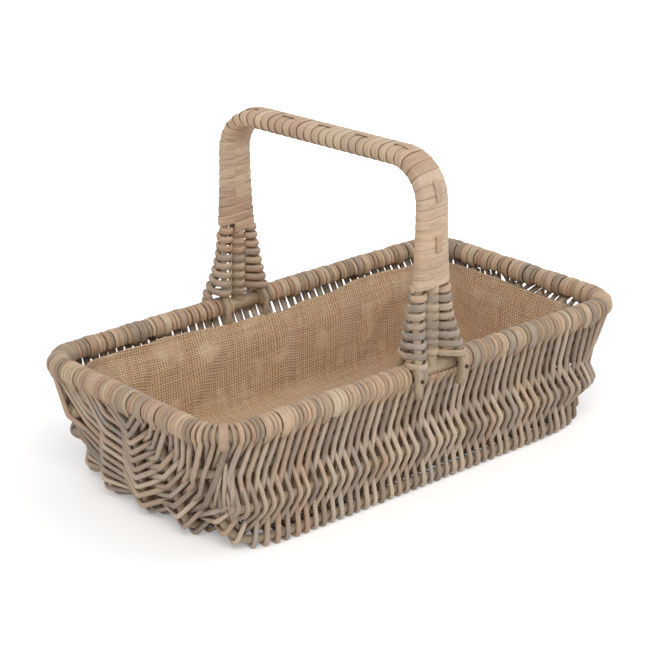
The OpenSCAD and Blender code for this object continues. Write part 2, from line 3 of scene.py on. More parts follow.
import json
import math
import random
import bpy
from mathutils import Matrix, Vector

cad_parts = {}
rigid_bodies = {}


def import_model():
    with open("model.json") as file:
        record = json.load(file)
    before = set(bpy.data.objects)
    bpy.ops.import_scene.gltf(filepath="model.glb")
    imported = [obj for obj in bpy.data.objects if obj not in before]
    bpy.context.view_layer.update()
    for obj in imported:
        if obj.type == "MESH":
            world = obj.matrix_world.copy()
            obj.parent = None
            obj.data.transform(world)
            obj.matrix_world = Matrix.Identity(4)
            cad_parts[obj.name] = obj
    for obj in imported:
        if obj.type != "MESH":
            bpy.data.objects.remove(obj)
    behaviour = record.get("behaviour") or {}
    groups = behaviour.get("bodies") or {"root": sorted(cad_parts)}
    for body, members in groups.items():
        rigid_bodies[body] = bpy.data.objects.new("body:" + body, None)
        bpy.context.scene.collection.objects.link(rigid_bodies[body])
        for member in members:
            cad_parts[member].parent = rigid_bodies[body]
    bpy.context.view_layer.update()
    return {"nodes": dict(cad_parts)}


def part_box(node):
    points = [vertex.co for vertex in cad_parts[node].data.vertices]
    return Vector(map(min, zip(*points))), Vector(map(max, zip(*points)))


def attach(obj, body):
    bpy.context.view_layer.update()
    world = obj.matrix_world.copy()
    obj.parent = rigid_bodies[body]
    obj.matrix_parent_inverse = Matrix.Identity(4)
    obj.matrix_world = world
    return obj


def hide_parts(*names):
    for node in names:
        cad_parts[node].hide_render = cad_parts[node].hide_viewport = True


bl_info = {
    "name": "Willow Trug Basket",
    "version": (1, 0, 0),
    "blender": (4, 5, 0),
    "location": "View3D > Sidebar > Trug",
    "description": "Builds the woven willow, handle binding and hessian liner round the packed trug frame",
    "category": "Object",
}

import bpy
import numpy as np
from mathutils import Matrix, Vector



def clear_start_scene():
    """Takes away Blender's own start objects, before anything is measured."""
    for obj in list(bpy.data.objects):
        if obj.name in ("Cube", "Light", "Camera"):
            bpy.data.objects.remove(obj)


clear_start_scene()
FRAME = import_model()
MM = 0.001
UP = np.array([0.0, 0.0, 1.0])


# Sizes that the frame fixes, in millimetres
def node_box(name):
    low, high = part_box(name)
    return np.array(low) / MM, np.array(high) / MM


hoop_low, hoop_high = node_box("rim_hoop")
HOOP_D = hoop_high[2] - hoop_low[2]
HOOP_R = HOOP_D / 2
RIM_HEIGHT = (hoop_high[2] + hoop_low[2]) / 2
HALF_L = hoop_high[0] - HOOP_R
HALF_W = hoop_high[1] - HOOP_R
core_low, core_high = node_box("handle_core")
CORE_D = 13
HANDLE_X = (core_high[0] + core_low[0]) / 2
HANDLE_SKEW = math.radians(4.35)
GRIP_HEIGHT = core_high[2] - CORE_D / 2


# The rest of the layout repeats the part's own dimensions, in millimetres
RIM_CORNER = 31
RIB_D = 8
RIB_R = RIB_D / 2
WEAVER_D = 4
ROD_GAP = 0.15
WORN_FLAT = 0.5
PITCH = 4.8
RIB_BEND = 20
BASE_HALF = 236
SIDE_Y = (113, 122.5)
SIDE_Z = (78, 45)
SIDE_CORNER = (34, 44)
SIDE_CORNER_X = (213, 201)
SIDE_LEAN = (1.02, 1.045)
SIDE_END_ANGLE = (8, 50)
FAN_TOP_S = (4, 30, 60)
FAN_TOP_Y = (0, 30, 60)
FAN_MID_Y = (0, 53, 92)
FAN_BASE_Y = (0, 59, 117.5)
FAN_MID_X = (BASE_HALF, BASE_HALF - 1, BASE_HALF - 14)
FAN_TOP_X = HALF_L - 3
CURVE_RUN = 70
CORNER_TURN = 0.7
HANDLE_BEND = 38
SIDE_ROD_D = 8
FOOT_SPREAD = 28
BINDING_START = 200
FOOT_ROWS = 16
STAKE_TIP_Z = 101
LINER_TOP = 106

END_RUN = HALF_W - RIM_CORNER
ARC_RUN = RIM_CORNER * math.pi / 2
HALF_S = END_RUN + ARC_RUN + HALF_L - RIM_CORNER
LAP_R = HOOP_R + WEAVER_D + ROD_GAP
LIFT = RIB_R + WEAVER_D / 2 + ROD_GAP
BASE_Z = LIFT + WEAVER_D / 2 - WORN_FLAT
RIB_TOP_Z = RIM_HEIGHT - LAP_R - 2 * ROD_GAP
BEND_Z = BASE_Z + RIB_BEND
BEND_LEN = RIB_BEND * math.pi / 2
SIDE_START_S = (END_RUN + 6, END_RUN + 36)


def vec(*v):
    return np.array(v, float)


def unit(v):
    return v / np.linalg.norm(v)


def mix(a, b, t):
    return a + (b - a) * t


def clamp(t):
    return min(1.0, max(0.0, t))


def flip(p, x=1, y=1):
    return p * vec(x, y, 1)


def reject(v, way):
    """The part of v that is square to way, at unit length."""
    return unit(v - np.dot(v, way) * way)


# Where a weaver meets the rim and the ribs, at s along the rim from the left end
def rim_place(s):
    if s < END_RUN:
        return vec(-HALF_L, s, RIM_HEIGHT), vec(-1, 0, 0)
    if s < END_RUN + ARC_RUN:
        a = (s - END_RUN) / RIM_CORNER
        d = vec(-math.cos(a), math.sin(a), 0)
        return vec(-HALF_L + RIM_CORNER, END_RUN, RIM_HEIGHT) + RIM_CORNER * d, d
    return vec(s - HALF_S, HALF_W, RIM_HEIGHT), vec(0, 1, 0)


def fan_down(j):
    return math.hypot(FAN_TOP_X - FAN_MID_X[j], FAN_MID_Y[j] - FAN_TOP_Y[j], RIB_TOP_Z - BEND_Z)


def fan_total(j):
    return fan_down(j) + BEND_LEN + FAN_MID_X[j] - RIB_BEND


def fan_y(j, x):
    t = clamp((FAN_MID_X[j] - x) / CURVE_RUN)
    return mix(FAN_MID_Y[j], FAN_BASE_Y[j], math.sqrt(1 - (1 - t) ** 2))


def fan_at(j, a):
    turn = CORNER_TURN if j == 2 else 0
    if a < fan_down(j):
        t = a / fan_down(j)
        point = vec(-mix(FAN_TOP_X, FAN_MID_X[j], t), mix(FAN_TOP_Y[j], FAN_MID_Y[j], t), mix(RIB_TOP_Z, BEND_Z, t))
        return point, unit(vec(-1, turn * t * t, 0))
    if a < fan_down(j) + BEND_LEN:
        b = (a - fan_down(j)) / RIB_BEND
        x = FAN_MID_X[j] - RIB_BEND * (1 - math.cos(b))
        return vec(-x, fan_y(j, x), BEND_Z - RIB_BEND * math.sin(b)), unit(vec(-math.cos(b), turn, -math.sin(b)))
    x = FAN_MID_X[j] - RIB_BEND - (a - fan_down(j) - BEND_LEN)
    return vec(-x, fan_y(j, x), BASE_Z), unit(vec(0, turn, -1))


def fan_cross(j, s):
    return fan_at(j, (s - FAN_TOP_S[j]) * fan_total(j) / (HALF_S - FAN_TOP_S[j]))


def side_cross(j, s):
    x = (HALF_S - s) * SIDE_LEAN[j]
    if x < SIDE_CORNER_X[j]:
        return vec(-x, SIDE_Y[j], SIDE_Z[j]), vec(0, 1, 0)
    s0 = HALF_S - SIDE_CORNER_X[j] / SIDE_LEAN[j]
    a = math.radians(mix(SIDE_END_ANGLE[j] + 4, 90, (s - SIDE_START_S[j]) / (s0 - SIDE_START_S[j])))
    d = vec(-math.cos(a), math.sin(a), 0)
    return vec(-SIDE_CORNER_X[j], SIDE_Y[j] - SIDE_CORNER[j], SIDE_Z[j]) + SIDE_CORNER[j] * d, d


# A willow rod lies a little further off a rib than its own radius, since its bend is round
REACH = LIFT + 0.7


def crossings(s, side, start, sway):
    """Ribs that weaver s meets from the rim to the middle of the base, on the far left quarter.
    Each is a point on the rib, the way out of the basket there, the side passed and the rib's run."""
    met = []
    if start > SIDE_START_S[0]:
        met.append((side_cross, 0, -side))
    if start > SIDE_START_S[1]:
        met.append((side_cross, 1, side))
    if start > FAN_TOP_S[2] + 6:
        met.append((fan_cross, 2, -side))
    if start > FAN_TOP_S[1] + 6:
        met.append((fan_cross, 1, side))
    met.append((fan_cross, 0, -side))
    found = []
    for k, (cross, j, way) in enumerate(met):
        point, out = cross(j, s + sway[k])
        found.append((point, out, way, unit(cross(j, s + 0.5)[0] - cross(j, s - 0.5)[0])))
    return found


def stations(s, side, start, sway):
    """Points and outward directions of weaver s from rim to rim, bent round each rib that it meets."""
    half = crossings(s, side, start, sway)
    whole = half + [(flip(p, y=-1), flip(d, y=-1), way, flip(run, y=-1)) for p, d, way, run in half[-2::-1]]
    rough = [p + way * REACH * d for p, d, way, _ in whole]
    rim = rim_place(s)[0] - vec(0, 0, TURN_R)
    ends = [rim] + rough + [flip(rim, y=-1)]
    points, normals = [], []
    for k, (p, d, way, run) in enumerate(whole):
        before, after = unit(rough[k] - ends[k]), unit(ends[k + 2] - rough[k])
        first, last = reject(reject(d, run), before), reject(reject(d, run), after)
        turn = math.acos(min(1.0, float(np.dot(before, after))))
        if way < 0 or turn < 0.7:
            points.append(p + way * REACH * unit(first + last))
            normals.append(unit(first + last))
        else:
            for share in (0.1, 0.5, 0.9):
                out = unit(mix(first, last, share))
                points.append(p + REACH * out)
                normals.append(out)
    return points, normals


WEAVER_HALF = int((HALF_S - 10) / PITCH)
WEAVER_S = [HALF_S - (WEAVER_HALF - i - 0.5) * PITCH for i in range(WEAVER_HALF)]
END_COUNT = len([s for s in WEAVER_S if s < SIDE_START_S[1] - 4])


def weaver_side(i, right):
    return 1 if (i + right) % 2 == 0 else -1


# Mesh work: swept rods and flat strips with a round of stored values for the materials
def rounded(points, normals, cut, steps=4):
    """The polyline with each corner rounded off over the length cut, and its normals."""
    out, outn = [points[0]], [normals[0]]
    for i in range(1, len(points) - 1):
        a, p, b = points[i - 1], points[i], points[i + 1]
        la, lb = np.linalg.norm(p - a), np.linalg.norm(b - p)
        ca, cb = min(cut, 0.45 * la), min(cut, 0.45 * lb)
        start, stop = p + (a - p) * ca / la, p + (b - p) * cb / lb
        na, nb = mix(normals[i], normals[i - 1], ca / la), mix(normals[i], normals[i + 1], cb / lb)
        for k in range(steps + 1):
            t = k / steps
            out.append((1 - t) ** 2 * start + 2 * t * (1 - t) * p + t * t * stop)
            outn.append((1 - t) ** 2 * na + 2 * t * (1 - t) * normals[i] + t * t * nb)
    out.append(points[-1])
    outn.append(normals[-1])
    return np.array(out), np.array(outn)


def denser(points, normals, step):
    """Adds points so that none is further than step from the next."""
    out, outn = [points[0]], [normals[0]]
    for i in range(1, len(points)):
        n = max(1, int(math.ceil(np.linalg.norm(points[i] - points[i - 1]) / step)))
        for k in range(1, n + 1):
            out.append(mix(points[i - 1], points[i], k / n))
            outn.append(mix(normals[i - 1], normals[i], k / n))
    return np.array(out), np.array(outn)


class Strands:
    """Collects swept strands into one mesh, with a tone and a run of length for each."""

    def __init__(self, seed):
        self.rng = random.Random(seed)
        self.verts, self.faces = [], []
        self.uvs, self.tones, self.depths = [], [], []
        self.count = 0

    def sweep(self, points, normals, width, height, sides=8, tone=None, power=2.0, wobble=0.0, depth=None,
              twist=None, cap=0.35):
        points, normals = np.asarray(points, float), np.asarray(normals, float)
        n = len(points)
        tangent = np.gradient(points, axis=0)
        tangent /= np.linalg.norm(tangent, axis=1)[:, None]
        normals = normals - (normals * tangent).sum(1)[:, None] * tangent
        normals /= np.maximum(np.linalg.norm(normals, axis=1), 1e-9)[:, None]
        across = np.cross(tangent, normals)
        run = np.concatenate([[0], np.cumsum(np.linalg.norm(np.diff(points, axis=0), axis=1))])
        if wobble:
            a, b = self.rng.uniform(0, 6.28), self.rng.uniform(0, 6.28)
            sway = wobble * (np.sin(run / 17 + a) + 0.6 * np.sin(run / 7.3 + b))
            points = points + sway[:, None] * across
        if twist is not None:
            c, s = np.cos(twist)[:, None], np.sin(twist)[:, None]
            normals, across = c * normals + s * across, c * across - s * normals
        width = np.broadcast_to(np.asarray(width, float), (n,)).copy()
        height = np.broadcast_to(np.asarray(height, float), (n,)).copy()
        if cap:
            points = np.concatenate([points[:1], points, points[-1:]])
            normals = np.concatenate([normals[:1], normals, normals[-1:]])
            across = np.concatenate([across[:1], across, across[-1:]])
            run = np.concatenate([run[:1], run, run[-1:]])
            width = np.concatenate([width[:1] * cap, width, width[-1:] * cap])
            height = np.concatenate([height[:1] * cap, height, height[-1:] * cap])
            n += 2
        angle = np.arange(sides) * 2 * math.pi / sides + math.pi / sides
        ca = np.sign(np.cos(angle)) * np.abs(np.cos(angle)) ** (2 / power)
        sa = np.sign(np.sin(angle)) * np.abs(np.sin(angle)) ** (2 / power)
        ring = (points[:, None] + (width / 2)[:, None, None] * ca[None, :, None] * across[:, None]
                + (height / 2)[:, None, None] * sa[None, :, None] * normals[:, None])
        base = self.count
        self.verts.append(ring.reshape(-1, 3))
        r, k = np.meshgrid(np.arange(n - 1), np.arange(sides), indexing="ij")
        a = base + r * sides + k
        b = base + r * sides + (k + 1) % sides
        self.faces += np.stack([a, b, b + sides, a + sides], -1).reshape(-1, 4).tolist()
        self.faces.append([base + i for i in range(sides - 1, -1, -1)])
        self.faces.append([base + (n - 1) * sides + i for i in range(sides)])
        tone = self.rng.random() if tone is None else tone
        start = self.rng.uniform(0, 40)
        u = np.tile(np.arange(sides) / sides, n)
        v = np.repeat(run, sides) * MM + start
        self.uvs.append(np.stack([u, v], -1))
        self.tones.append(np.full(n * sides, tone))
        depth = np.ones(n) if depth is None else np.asarray(depth, float)
        if len(depth) != n:
            depth = np.concatenate([depth[:1], depth, depth[-1:]])
        self.depths.append(np.repeat(depth, sides))
        self.count += n * sides

    def object(self, name):
        verts = np.concatenate(self.verts) * MM
        mesh = bpy.data.meshes.new(name)
        mesh.from_pydata(verts.tolist(), [], self.faces)
        mesh.polygons.foreach_set("use_smooth", [True] * len(mesh.polygons))
        store(mesh, "tone", np.concatenate(self.tones))
        store(mesh, "depth", np.concatenate(self.depths))
        grain = np.concatenate(self.uvs)
        loops = np.zeros(len(mesh.loops), np.int32)
        mesh.loops.foreach_get("vertex_index", loops)
        layer = mesh.uv_layers.new(name="grain")
        layer.data.foreach_set("uv", grain[loops].astype(np.float32).ravel())
        mesh.validate()
        obj = bpy.data.objects.new(name, mesh)
        bpy.context.scene.collection.objects.link(obj)
        return obj


def store(mesh, name, values):
    attribute = mesh.attributes.new(name, "FLOAT", "POINT")
    attribute.data.foreach_set("value", np.asarray(values, np.float32))


def place(obj, material, slot, *nodes):
    """Finishes a piece: its material, the nodes that it stands for, which it hides, and its body. The slot argument is
    not used.
    """
    obj.data.materials.clear()
    obj.data.materials.append(material)
    if nodes:
        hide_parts(*nodes)
    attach(obj, "root")
    return obj


# Shader work
def new_group(name, inputs, outputs):
    group = bpy.data.node_groups.new(name, "ShaderNodeTree")
    for label, kind, value in inputs:
        made = group.interface.new_socket(name=label, in_out="INPUT", socket_type=kind)
        made.default_value = value
    for label, kind in outputs:
        group.interface.new_socket(name=label, in_out="OUTPUT", socket_type=kind)
    return group, Wiring(group)


class Wiring:
    """Short calls for adding and linking shader nodes."""

    def __init__(self, tree):
        self.tree = tree

    def add(self, kind, inputs=None, **settings):
        node = self.tree.nodes.new(kind)
        for key, value in settings.items():
            setattr(node, key, value)
        for key, value in (inputs or {}).items():
            self.put(value, node.inputs[key])
        return node

    def put(self, value, socket):
        if isinstance(value, bpy.types.NodeSocket):
            self.tree.links.new(value, socket)
        else:
            socket.default_value = value

    def math(self, operation, a, b=0.5, c=None, clamp_it=False):
        inputs = {0: a, 1: b}
        if c is not None:
            inputs[2] = c
        return self.add("ShaderNodeMath", inputs, operation=operation, use_clamp=clamp_it).outputs[0]

    def ramp(self, factor, stops, interpolation="LINEAR"):
        node = self.add("ShaderNodeValToRGB", {0: factor})
        node.color_ramp.interpolation = interpolation
        elements = node.color_ramp.elements
        while len(elements) < len(stops):
            elements.new(0.5)
        for element, (position, colour) in zip(elements, stops):
            element.position = position
            element.color = colour if len(colour) == 4 else (*colour, 1)
        return node.outputs[0]

    def blend(self, factor, a, b, mode="MIX"):
        node = self.add("ShaderNodeMix", data_type="RGBA", blend_type=mode)
        self.put(factor, node.inputs[0])
        self.put(a, node.inputs[6])
        self.put(b, node.inputs[7])
        return node.outputs[2]

    def noise(self, vector, scale, detail=4, rough=0.55):
        return self.add("ShaderNodeTexNoise", {"Vector": vector, "Scale": scale, "Detail": detail,
                                               "Roughness": rough}).outputs[0]


def linear(hexa):
    """A hexadecimal display colour as linear values."""
    values = [int(hexa[i:i + 2], 16) / 255 for i in (0, 2, 4)]
    return tuple(v / 12.92 if v <= 0.04045 else ((v + 0.055) / 1.055) ** 2.4 for v in values)


def grain_group(strand):
    """Streaks that run along a rod, bark flecks and knots, from the rod's own length or from its place."""
    group, w = new_group("Willow grain" if strand else "Bark grain",
                         [("Streak scale", "NodeSocketFloat", 1.0), ("Fleck amount", "NodeSocketFloat", 0.5)],
                         [("Streaks", "NodeSocketFloat"), ("Flecks", "NodeSocketFloat"), ("Height", "NodeSocketFloat")])
    given = w.add("NodeGroupInput").outputs
    out = w.add("NodeGroupOutput")
    if strand:
        grain = w.add("ShaderNodeUVMap", uv_map="grain").outputs[0]
        parts = w.add("ShaderNodeSeparateXYZ", {0: grain}).outputs
        turn = w.math("MULTIPLY", parts[0], 2 * math.pi)
        ring = [w.math(kind, turn) for kind in ("COSINE", "SINE")]
        run = parts[1]
    else:
        where = w.add("ShaderNodeTexCoord").outputs["Object"]
        parts = w.add("ShaderNodeSeparateXYZ", {0: where}).outputs
        ring = [w.math("MULTIPLY", parts[k], 150.0) for k in (1, 2)]
        run = parts[0]
    long_way = w.math("MULTIPLY", run, w.math("MULTIPLY", given[0], 22.0))
    place_at = w.add("ShaderNodeCombineXYZ", {0: ring[0], 1: ring[1], 2: long_way}).outputs[0]
    streaks = w.noise(place_at, 2.4, 5, 0.6)
    short_way = w.math("MULTIPLY", run, 330.0)
    fleck_at = w.add("ShaderNodeCombineXYZ", {0: ring[0], 1: ring[1], 2: short_way}).outputs[0]
    flecks = w.ramp(w.noise(fleck_at, 1.5, 3, 0.5), [(0.60, (0, 0, 0)), (0.70, (1, 1, 1))])
    flecks = w.math("MULTIPLY", flecks, given[1])
    height = w.math("SUBTRACT", streaks, w.math("MULTIPLY", flecks, 0.5))
    w.put(streaks, out.inputs[0])
    w.put(flecks, out.inputs[1])
    w.put(height, out.inputs[2])
    return group


def dust_group():
    """Cloudy grey wash that lies on the whole piece, from its place."""
    group, w = new_group("Grey wash", [("Scale", "NodeSocketFloat", 30.0)], [("Wash", "NodeSocketFloat")])
    given = w.add("NodeGroupInput").outputs
    out = w.add("NodeGroupOutput")
    where = w.add("ShaderNodeTexCoord").outputs["Object"]
    cloud = w.noise(where, given[0], 3, 0.6)
    w.put(w.ramp(cloud, [(0.35, (0, 0, 0)), (0.7, (1, 1, 1))]), out.inputs[0])
    return group


def willow(name, tones, groups, wash=0.3, dark=0.34, fleck=0.6, roughness=0.5, bump=0.35, rim_tones=None,
           strand=True):
    """Willow finish: a tone for each rod, streaks, flecks and a grey wash, and warmer where it laps the rim."""
    material = bpy.data.materials.new(name)
    material.use_nodes = True
    w = Wiring(material.node_tree)
    shader = material.node_tree.nodes["Principled BSDF"]
    tone = w.add("ShaderNodeAttribute", attribute_name="tone").outputs["Fac"]
    colour = tone_ramp(w, tone, tones)
    grain = w.add("ShaderNodeGroup", node_tree=groups["grain" if strand else "bark"])
    grain.inputs[1].default_value = fleck
    cloud = w.add("ShaderNodeGroup", node_tree=groups["wash"])
    colour = w.blend(w.math("MULTIPLY", cloud.outputs[0], wash), colour, (*linear("b9aea2"), 1))
    if rim_tones:
        open_weave = w.add("ShaderNodeAttribute", attribute_name="depth").outputs["Fac"]
        colour = w.blend(w.math("MULTIPLY", open_weave, 0.85), tone_ramp(w, tone, rim_tones), colour)
    streak = w.ramp(grain.outputs[0], [(0.3, (1 - dark,) * 3), (0.55, (1, 1, 1)), (0.75, (1.0, 1.0, 1.0))])
    colour = w.blend(1.0, colour, streak, "MULTIPLY")
    colour = w.blend(w.math("MULTIPLY", grain.outputs[1], 0.6), colour, (*linear("5a4636"), 1))
    w.put(colour, shader.inputs["Base Color"])
    rough = w.add("ShaderNodeMapRange", {0: grain.outputs[0], 3: roughness - 0.1, 4: roughness + 0.12}).outputs[0]
    w.put(rough, shader.inputs["Roughness"])
    shader.inputs["Specular IOR Level"].default_value = 0.5
    normal = w.add("ShaderNodeBump", {"Strength": bump, "Distance": 0.0006, "Height": grain.outputs[2]})
    w.put(normal.outputs[0], shader.inputs["Normal"])
    return material


def tone_ramp(w, tone, tones):
    count = len(tones)
    return w.ramp(tone, [((k + 0.5) / count, linear(t)) for k, t in enumerate(tones)])


WILLOW_TONES = ("9a8876", "c2ac95", "d6c3ab", "ac9782", "deccb6", "be9c84", "ccbdab", "a0958a", "b99f8c", "8e7e6f",
                "d0b397")
RIM_TONES = ("b0937a", "c4a687", "ceb293", "b5927a", "d3bc9e", "bd9c7e", "a99580", "a08a73")
SKEIN_TONES = ("c4a283", "cdac8c", "d6b999", "cfae90", "d9bfa0", "d0b092", "c8a688", "bc9a7c")
FOOT_TONES = ("b19a82", "c6ac90", "ab9a88", "cbab8c", "a29789", "bf9c80", "ccb79e", "9a8b7b")
ROD_TONES = ("b09a7c", "b7a284", "a9967c")


def hessian(name):
    """Plain-woven jute: two sets of uneven threads, over and under, with small open holes; painted shade darkens the
    low parts of the weave and painted light turns some holes on the walls pale.
    """
    material = bpy.data.materials.new(name)
    material.use_nodes = True
    w = Wiring(material.node_tree)
    shader = material.node_tree.nodes["Principled BSDF"]
    cloth = w.add("ShaderNodeUVMap", uv_map="cloth").outputs[0]
    drift = w.add("ShaderNodeTexNoise", {"Vector": cloth, "Scale": 60.0, "Detail": 2.0}).outputs["Color"]
    bent = w.add("ShaderNodeMix", data_type="VECTOR")
    bent.inputs[0].default_value = 0.0009
    w.put(cloth, bent.inputs[4])
    w.put(w.add("ShaderNodeVectorMath", {0: cloth, 1: drift}, operation="ADD").outputs[0], bent.inputs[5])
    parts = w.add("ShaderNodeSeparateXYZ", {0: bent.outputs[1]}).outputs
    thread = 0.0029
    u = w.math("MULTIPLY", parts[0], math.pi / thread)
    v = w.math("MULTIPLY", parts[1], math.pi / thread)
    ridge_u = w.math("ABSOLUTE", w.math("SINE", u))
    ridge_v = w.math("ABSOLUTE", w.math("SINE", v))
    over = w.math("MULTIPLY", w.math("SINE", w.math("ADD", u, math.pi / 2)),
                  w.math("SINE", w.math("ADD", v, math.pi / 2)))
    over = w.math("GREATER_THAN", w.math("MULTIPLY", w.math("SIGN", over), 1.0), 0.0)
    warp = w.math("MULTIPLY", ridge_u, w.math("ADD", w.math("MULTIPLY", over, 0.5), 0.5))
    weft = w.math("MULTIPLY", ridge_v, w.math("SUBTRACT", 1.0, w.math("MULTIPLY", over, 0.5)))
    height = w.math("MAXIMUM", warp, weft)
    streak_u = w.add("ShaderNodeCombineXYZ", {0: w.math("MULTIPLY", parts[0], 380.0),
                                              1: w.math("MULTIPLY", parts[1], 18.0)}).outputs[0]
    streak_v = w.add("ShaderNodeCombineXYZ", {0: w.math("MULTIPLY", parts[0], 18.0),
                                              1: w.math("MULTIPLY", parts[1], 380.0)}).outputs[0]
    slub = w.math("ADD", w.noise(streak_u, 1.0, 2), w.noise(streak_v, 1.0, 2))
    base = w.ramp(w.math("MULTIPLY", slub, 0.5), [(0.32, linear("cba67e")), (0.5, linear("e6c49d")),
                                                   (0.68, linear("f5ddbe"))])
    # Painted shade: the cloth is multiplied toward deep brown where the weave lies low between the threads.
    depth = w.ramp(height, [(0.34, (0.34, 0.27, 0.2)), (0.8, (1, 1, 1))])
    colour = w.blend(1.0, base, depth, "MULTIPLY")
    where = w.add("ShaderNodeTexCoord").outputs["Object"]
    cloud = w.noise(where, 9.0, 2)
    colour = w.blend(w.math("MULTIPLY", cloud, 0.2), colour, (*linear("b08a60"), 1), "MULTIPLY")
    # Painted light: in noise patches on the walls, open holes in the weave are blended to pale cream as if light showed
    # through them; the bare mask carries this painted light.
    hole_light_patches = w.ramp(w.noise(where, 26.0, 2), [(0.55, (0, 0, 0)), (0.62, (1, 1, 1))])
    open_hole = w.math("LESS_THAN", height, 0.42)
    upright = w.math("GREATER_THAN", w.add("ShaderNodeSeparateXYZ", {0: where}).outputs[2], 0.03)
    bare = w.math("MULTIPLY", w.math("MULTIPLY", hole_light_patches, open_hole), upright)
    colour = w.blend(w.math("MULTIPLY", bare, 0.8), colour, (*linear("f0e2c8"), 1))
    w.put(colour, shader.inputs["Base Color"])
    shader.inputs["Roughness"].default_value = 0.88
    shader.inputs["Specular IOR Level"].default_value = 0.2
    shader.inputs["Sheen Weight"].default_value = 0.25
    shader.inputs["Sheen Roughness"].default_value = 0.6
    normal = w.add("ShaderNodeBump", {"Strength": 0.8, "Distance": 0.0009, "Height": height})
    w.put(normal.outputs[0], shader.inputs["Normal"])
    return material


def iron(name):
    material = bpy.data.materials.new(name)
    material.use_nodes = True
    w = Wiring(material.node_tree)
    shader = material.node_tree.nodes["Principled BSDF"]
    where = w.add("ShaderNodeTexCoord").outputs["Object"]
    rust = w.noise(where, 700.0, 3)
    w.put(w.ramp(rust, [(0.4, linear("3a3430")), (0.7, linear("6a4a38"))]), shader.inputs["Base Color"])
    shader.inputs["Metallic"].default_value = 0.7
    w.put(w.add("ShaderNodeMapRange", {0: rust, 3: 0.4, 4: 0.75}).outputs[0], shader.inputs["Roughness"])
    return material


MATERIALS = {}


def make_materials():
    groups = {"grain": grain_group(True), "bark": grain_group(False), "wash": dust_group()}
    MATERIALS["weaver"] = willow("Washed willow", WILLOW_TONES, groups, rim_tones=RIM_TONES)
    MATERIALS["rim"] = willow("Lapped willow", RIM_TONES, groups, wash=0.2, dark=0.4, fleck=0.4)
    MATERIALS["skein"] = willow("Flat skein", SKEIN_TONES, groups, wash=0.3, dark=0.3, fleck=0.3, roughness=0.4)
    MATERIALS["foot"] = willow("Fine willow", FOOT_TONES, groups, wash=0.3, fleck=0.4, roughness=0.48)
    MATERIALS["rod"] = willow("Peeled rod", ROD_TONES, groups, wash=0.3, fleck=0.6)
    MATERIALS["bark"] = willow("Hoop rod", ROD_TONES, groups, wash=0.2, fleck=0.4, strand=False)
    MATERIALS["hessian"] = hessian("Jute hessian")
    MATERIALS["iron"] = iron("Iron nail")


# The weaving
TURN_R = HOOP_R + 2.0


def rim_turn(s, start, stop, radius, shift, step=15):
    """Points round the hoop at s, from one angle to another, with 0 outward and 90 on top."""
    centre, d = rim_place(s)
    along = np.cross(UP, d)
    n = max(2, int(abs(stop - start) / step) + 1)
    points, normals = [], []
    for k in range(n + 1):
        t = k / n
        a = math.radians(mix(start, stop, t))
        out = math.cos(a) * d + math.sin(a) * UP
        points.append(centre + radius * out + shift * (t - 0.3) * along)
        normals.append(out)
    return points, normals


def weaver_path(s, side, start, laps, rng_shift, sway):
    """One weaver from rim to rim, as the left half has it, with a turn round each rim it laps."""
    points, normals = stations(s, side, start, sway)
    for rim, lapped in enumerate(laps):
        stop = 205 if lapped else -28
        turn_points, turn_normals = rim_turn(s, -46, stop, TURN_R + rng_shift[rim][0], rng_shift[rim][1])
        if rim == 1:
            turn_points = [flip(p, y=-1) for p in turn_points]
            turn_normals = [flip(d, y=-1) for d in turn_normals]
            points, normals = points + turn_points, normals + turn_normals
        else:
            points, normals = turn_points[::-1] + points, turn_normals[::-1] + normals
    return np.array(points), np.array(normals)


def lap_plan(rng):
    """Which weaver places along one long rim are lapped by their own rod, and which by a broad band."""
    places = [(i, 0) for i in range(WEAVER_HALF)] + [(i, 1) for i in reversed(range(WEAVER_HALF))]
    own, bands = {place_at: True for place_at in places}, []
    for k in range((WEAVER_HALF - 1) % 2, len(places) - 1, 2):
        if rng.random() < 0.24:
            own[places[k]] = own[places[k + 1]] = False
            bands.append((places[k], places[k + 1]))
    return own, bands


FOOT_SHIFT = HALF_W * math.tan(HANDLE_SKEW)
FOOT_X = (HANDLE_X - FOOT_SHIFT, HANDLE_X + FOOT_SHIFT)
BARE = (CORE_D / 2 + 3, CORE_D / 2 + 16)


def in_foot_gap(s, right, rim):
    """Whether place s lies where the hoop is left bare beside a foot of the handle."""
    x = (HALF_S - s) * (1 if right else -1)
    return s > END_RUN + ARC_RUN and -BARE[0] < x - FOOT_X[rim] < BARE[1]


def crowded(points, beside, size):
    """Width of a weaver at each of its points, from how near its neighbour lies."""
    widths = []
    for k in range(len(points)):
        way = unit(points[min(k + 1, len(points) - 1)] - points[max(k - 1, 0)])
        gap = beside[k] - points[k]
        room = np.linalg.norm(gap - np.dot(gap, way) * way) * PITCH
        widths.append(min(size, max(2.4, 1.35 * room)))
    return np.array(widths)


def resample(values, points, finer):
    """Values given at points, spread along the finer path that passes near them."""
    found = [int(np.argmin(np.linalg.norm(finer - p, axis=1))) for p in points]
    found = np.maximum.accumulate(np.array(found))
    return np.interp(np.arange(len(finer)), found, values)


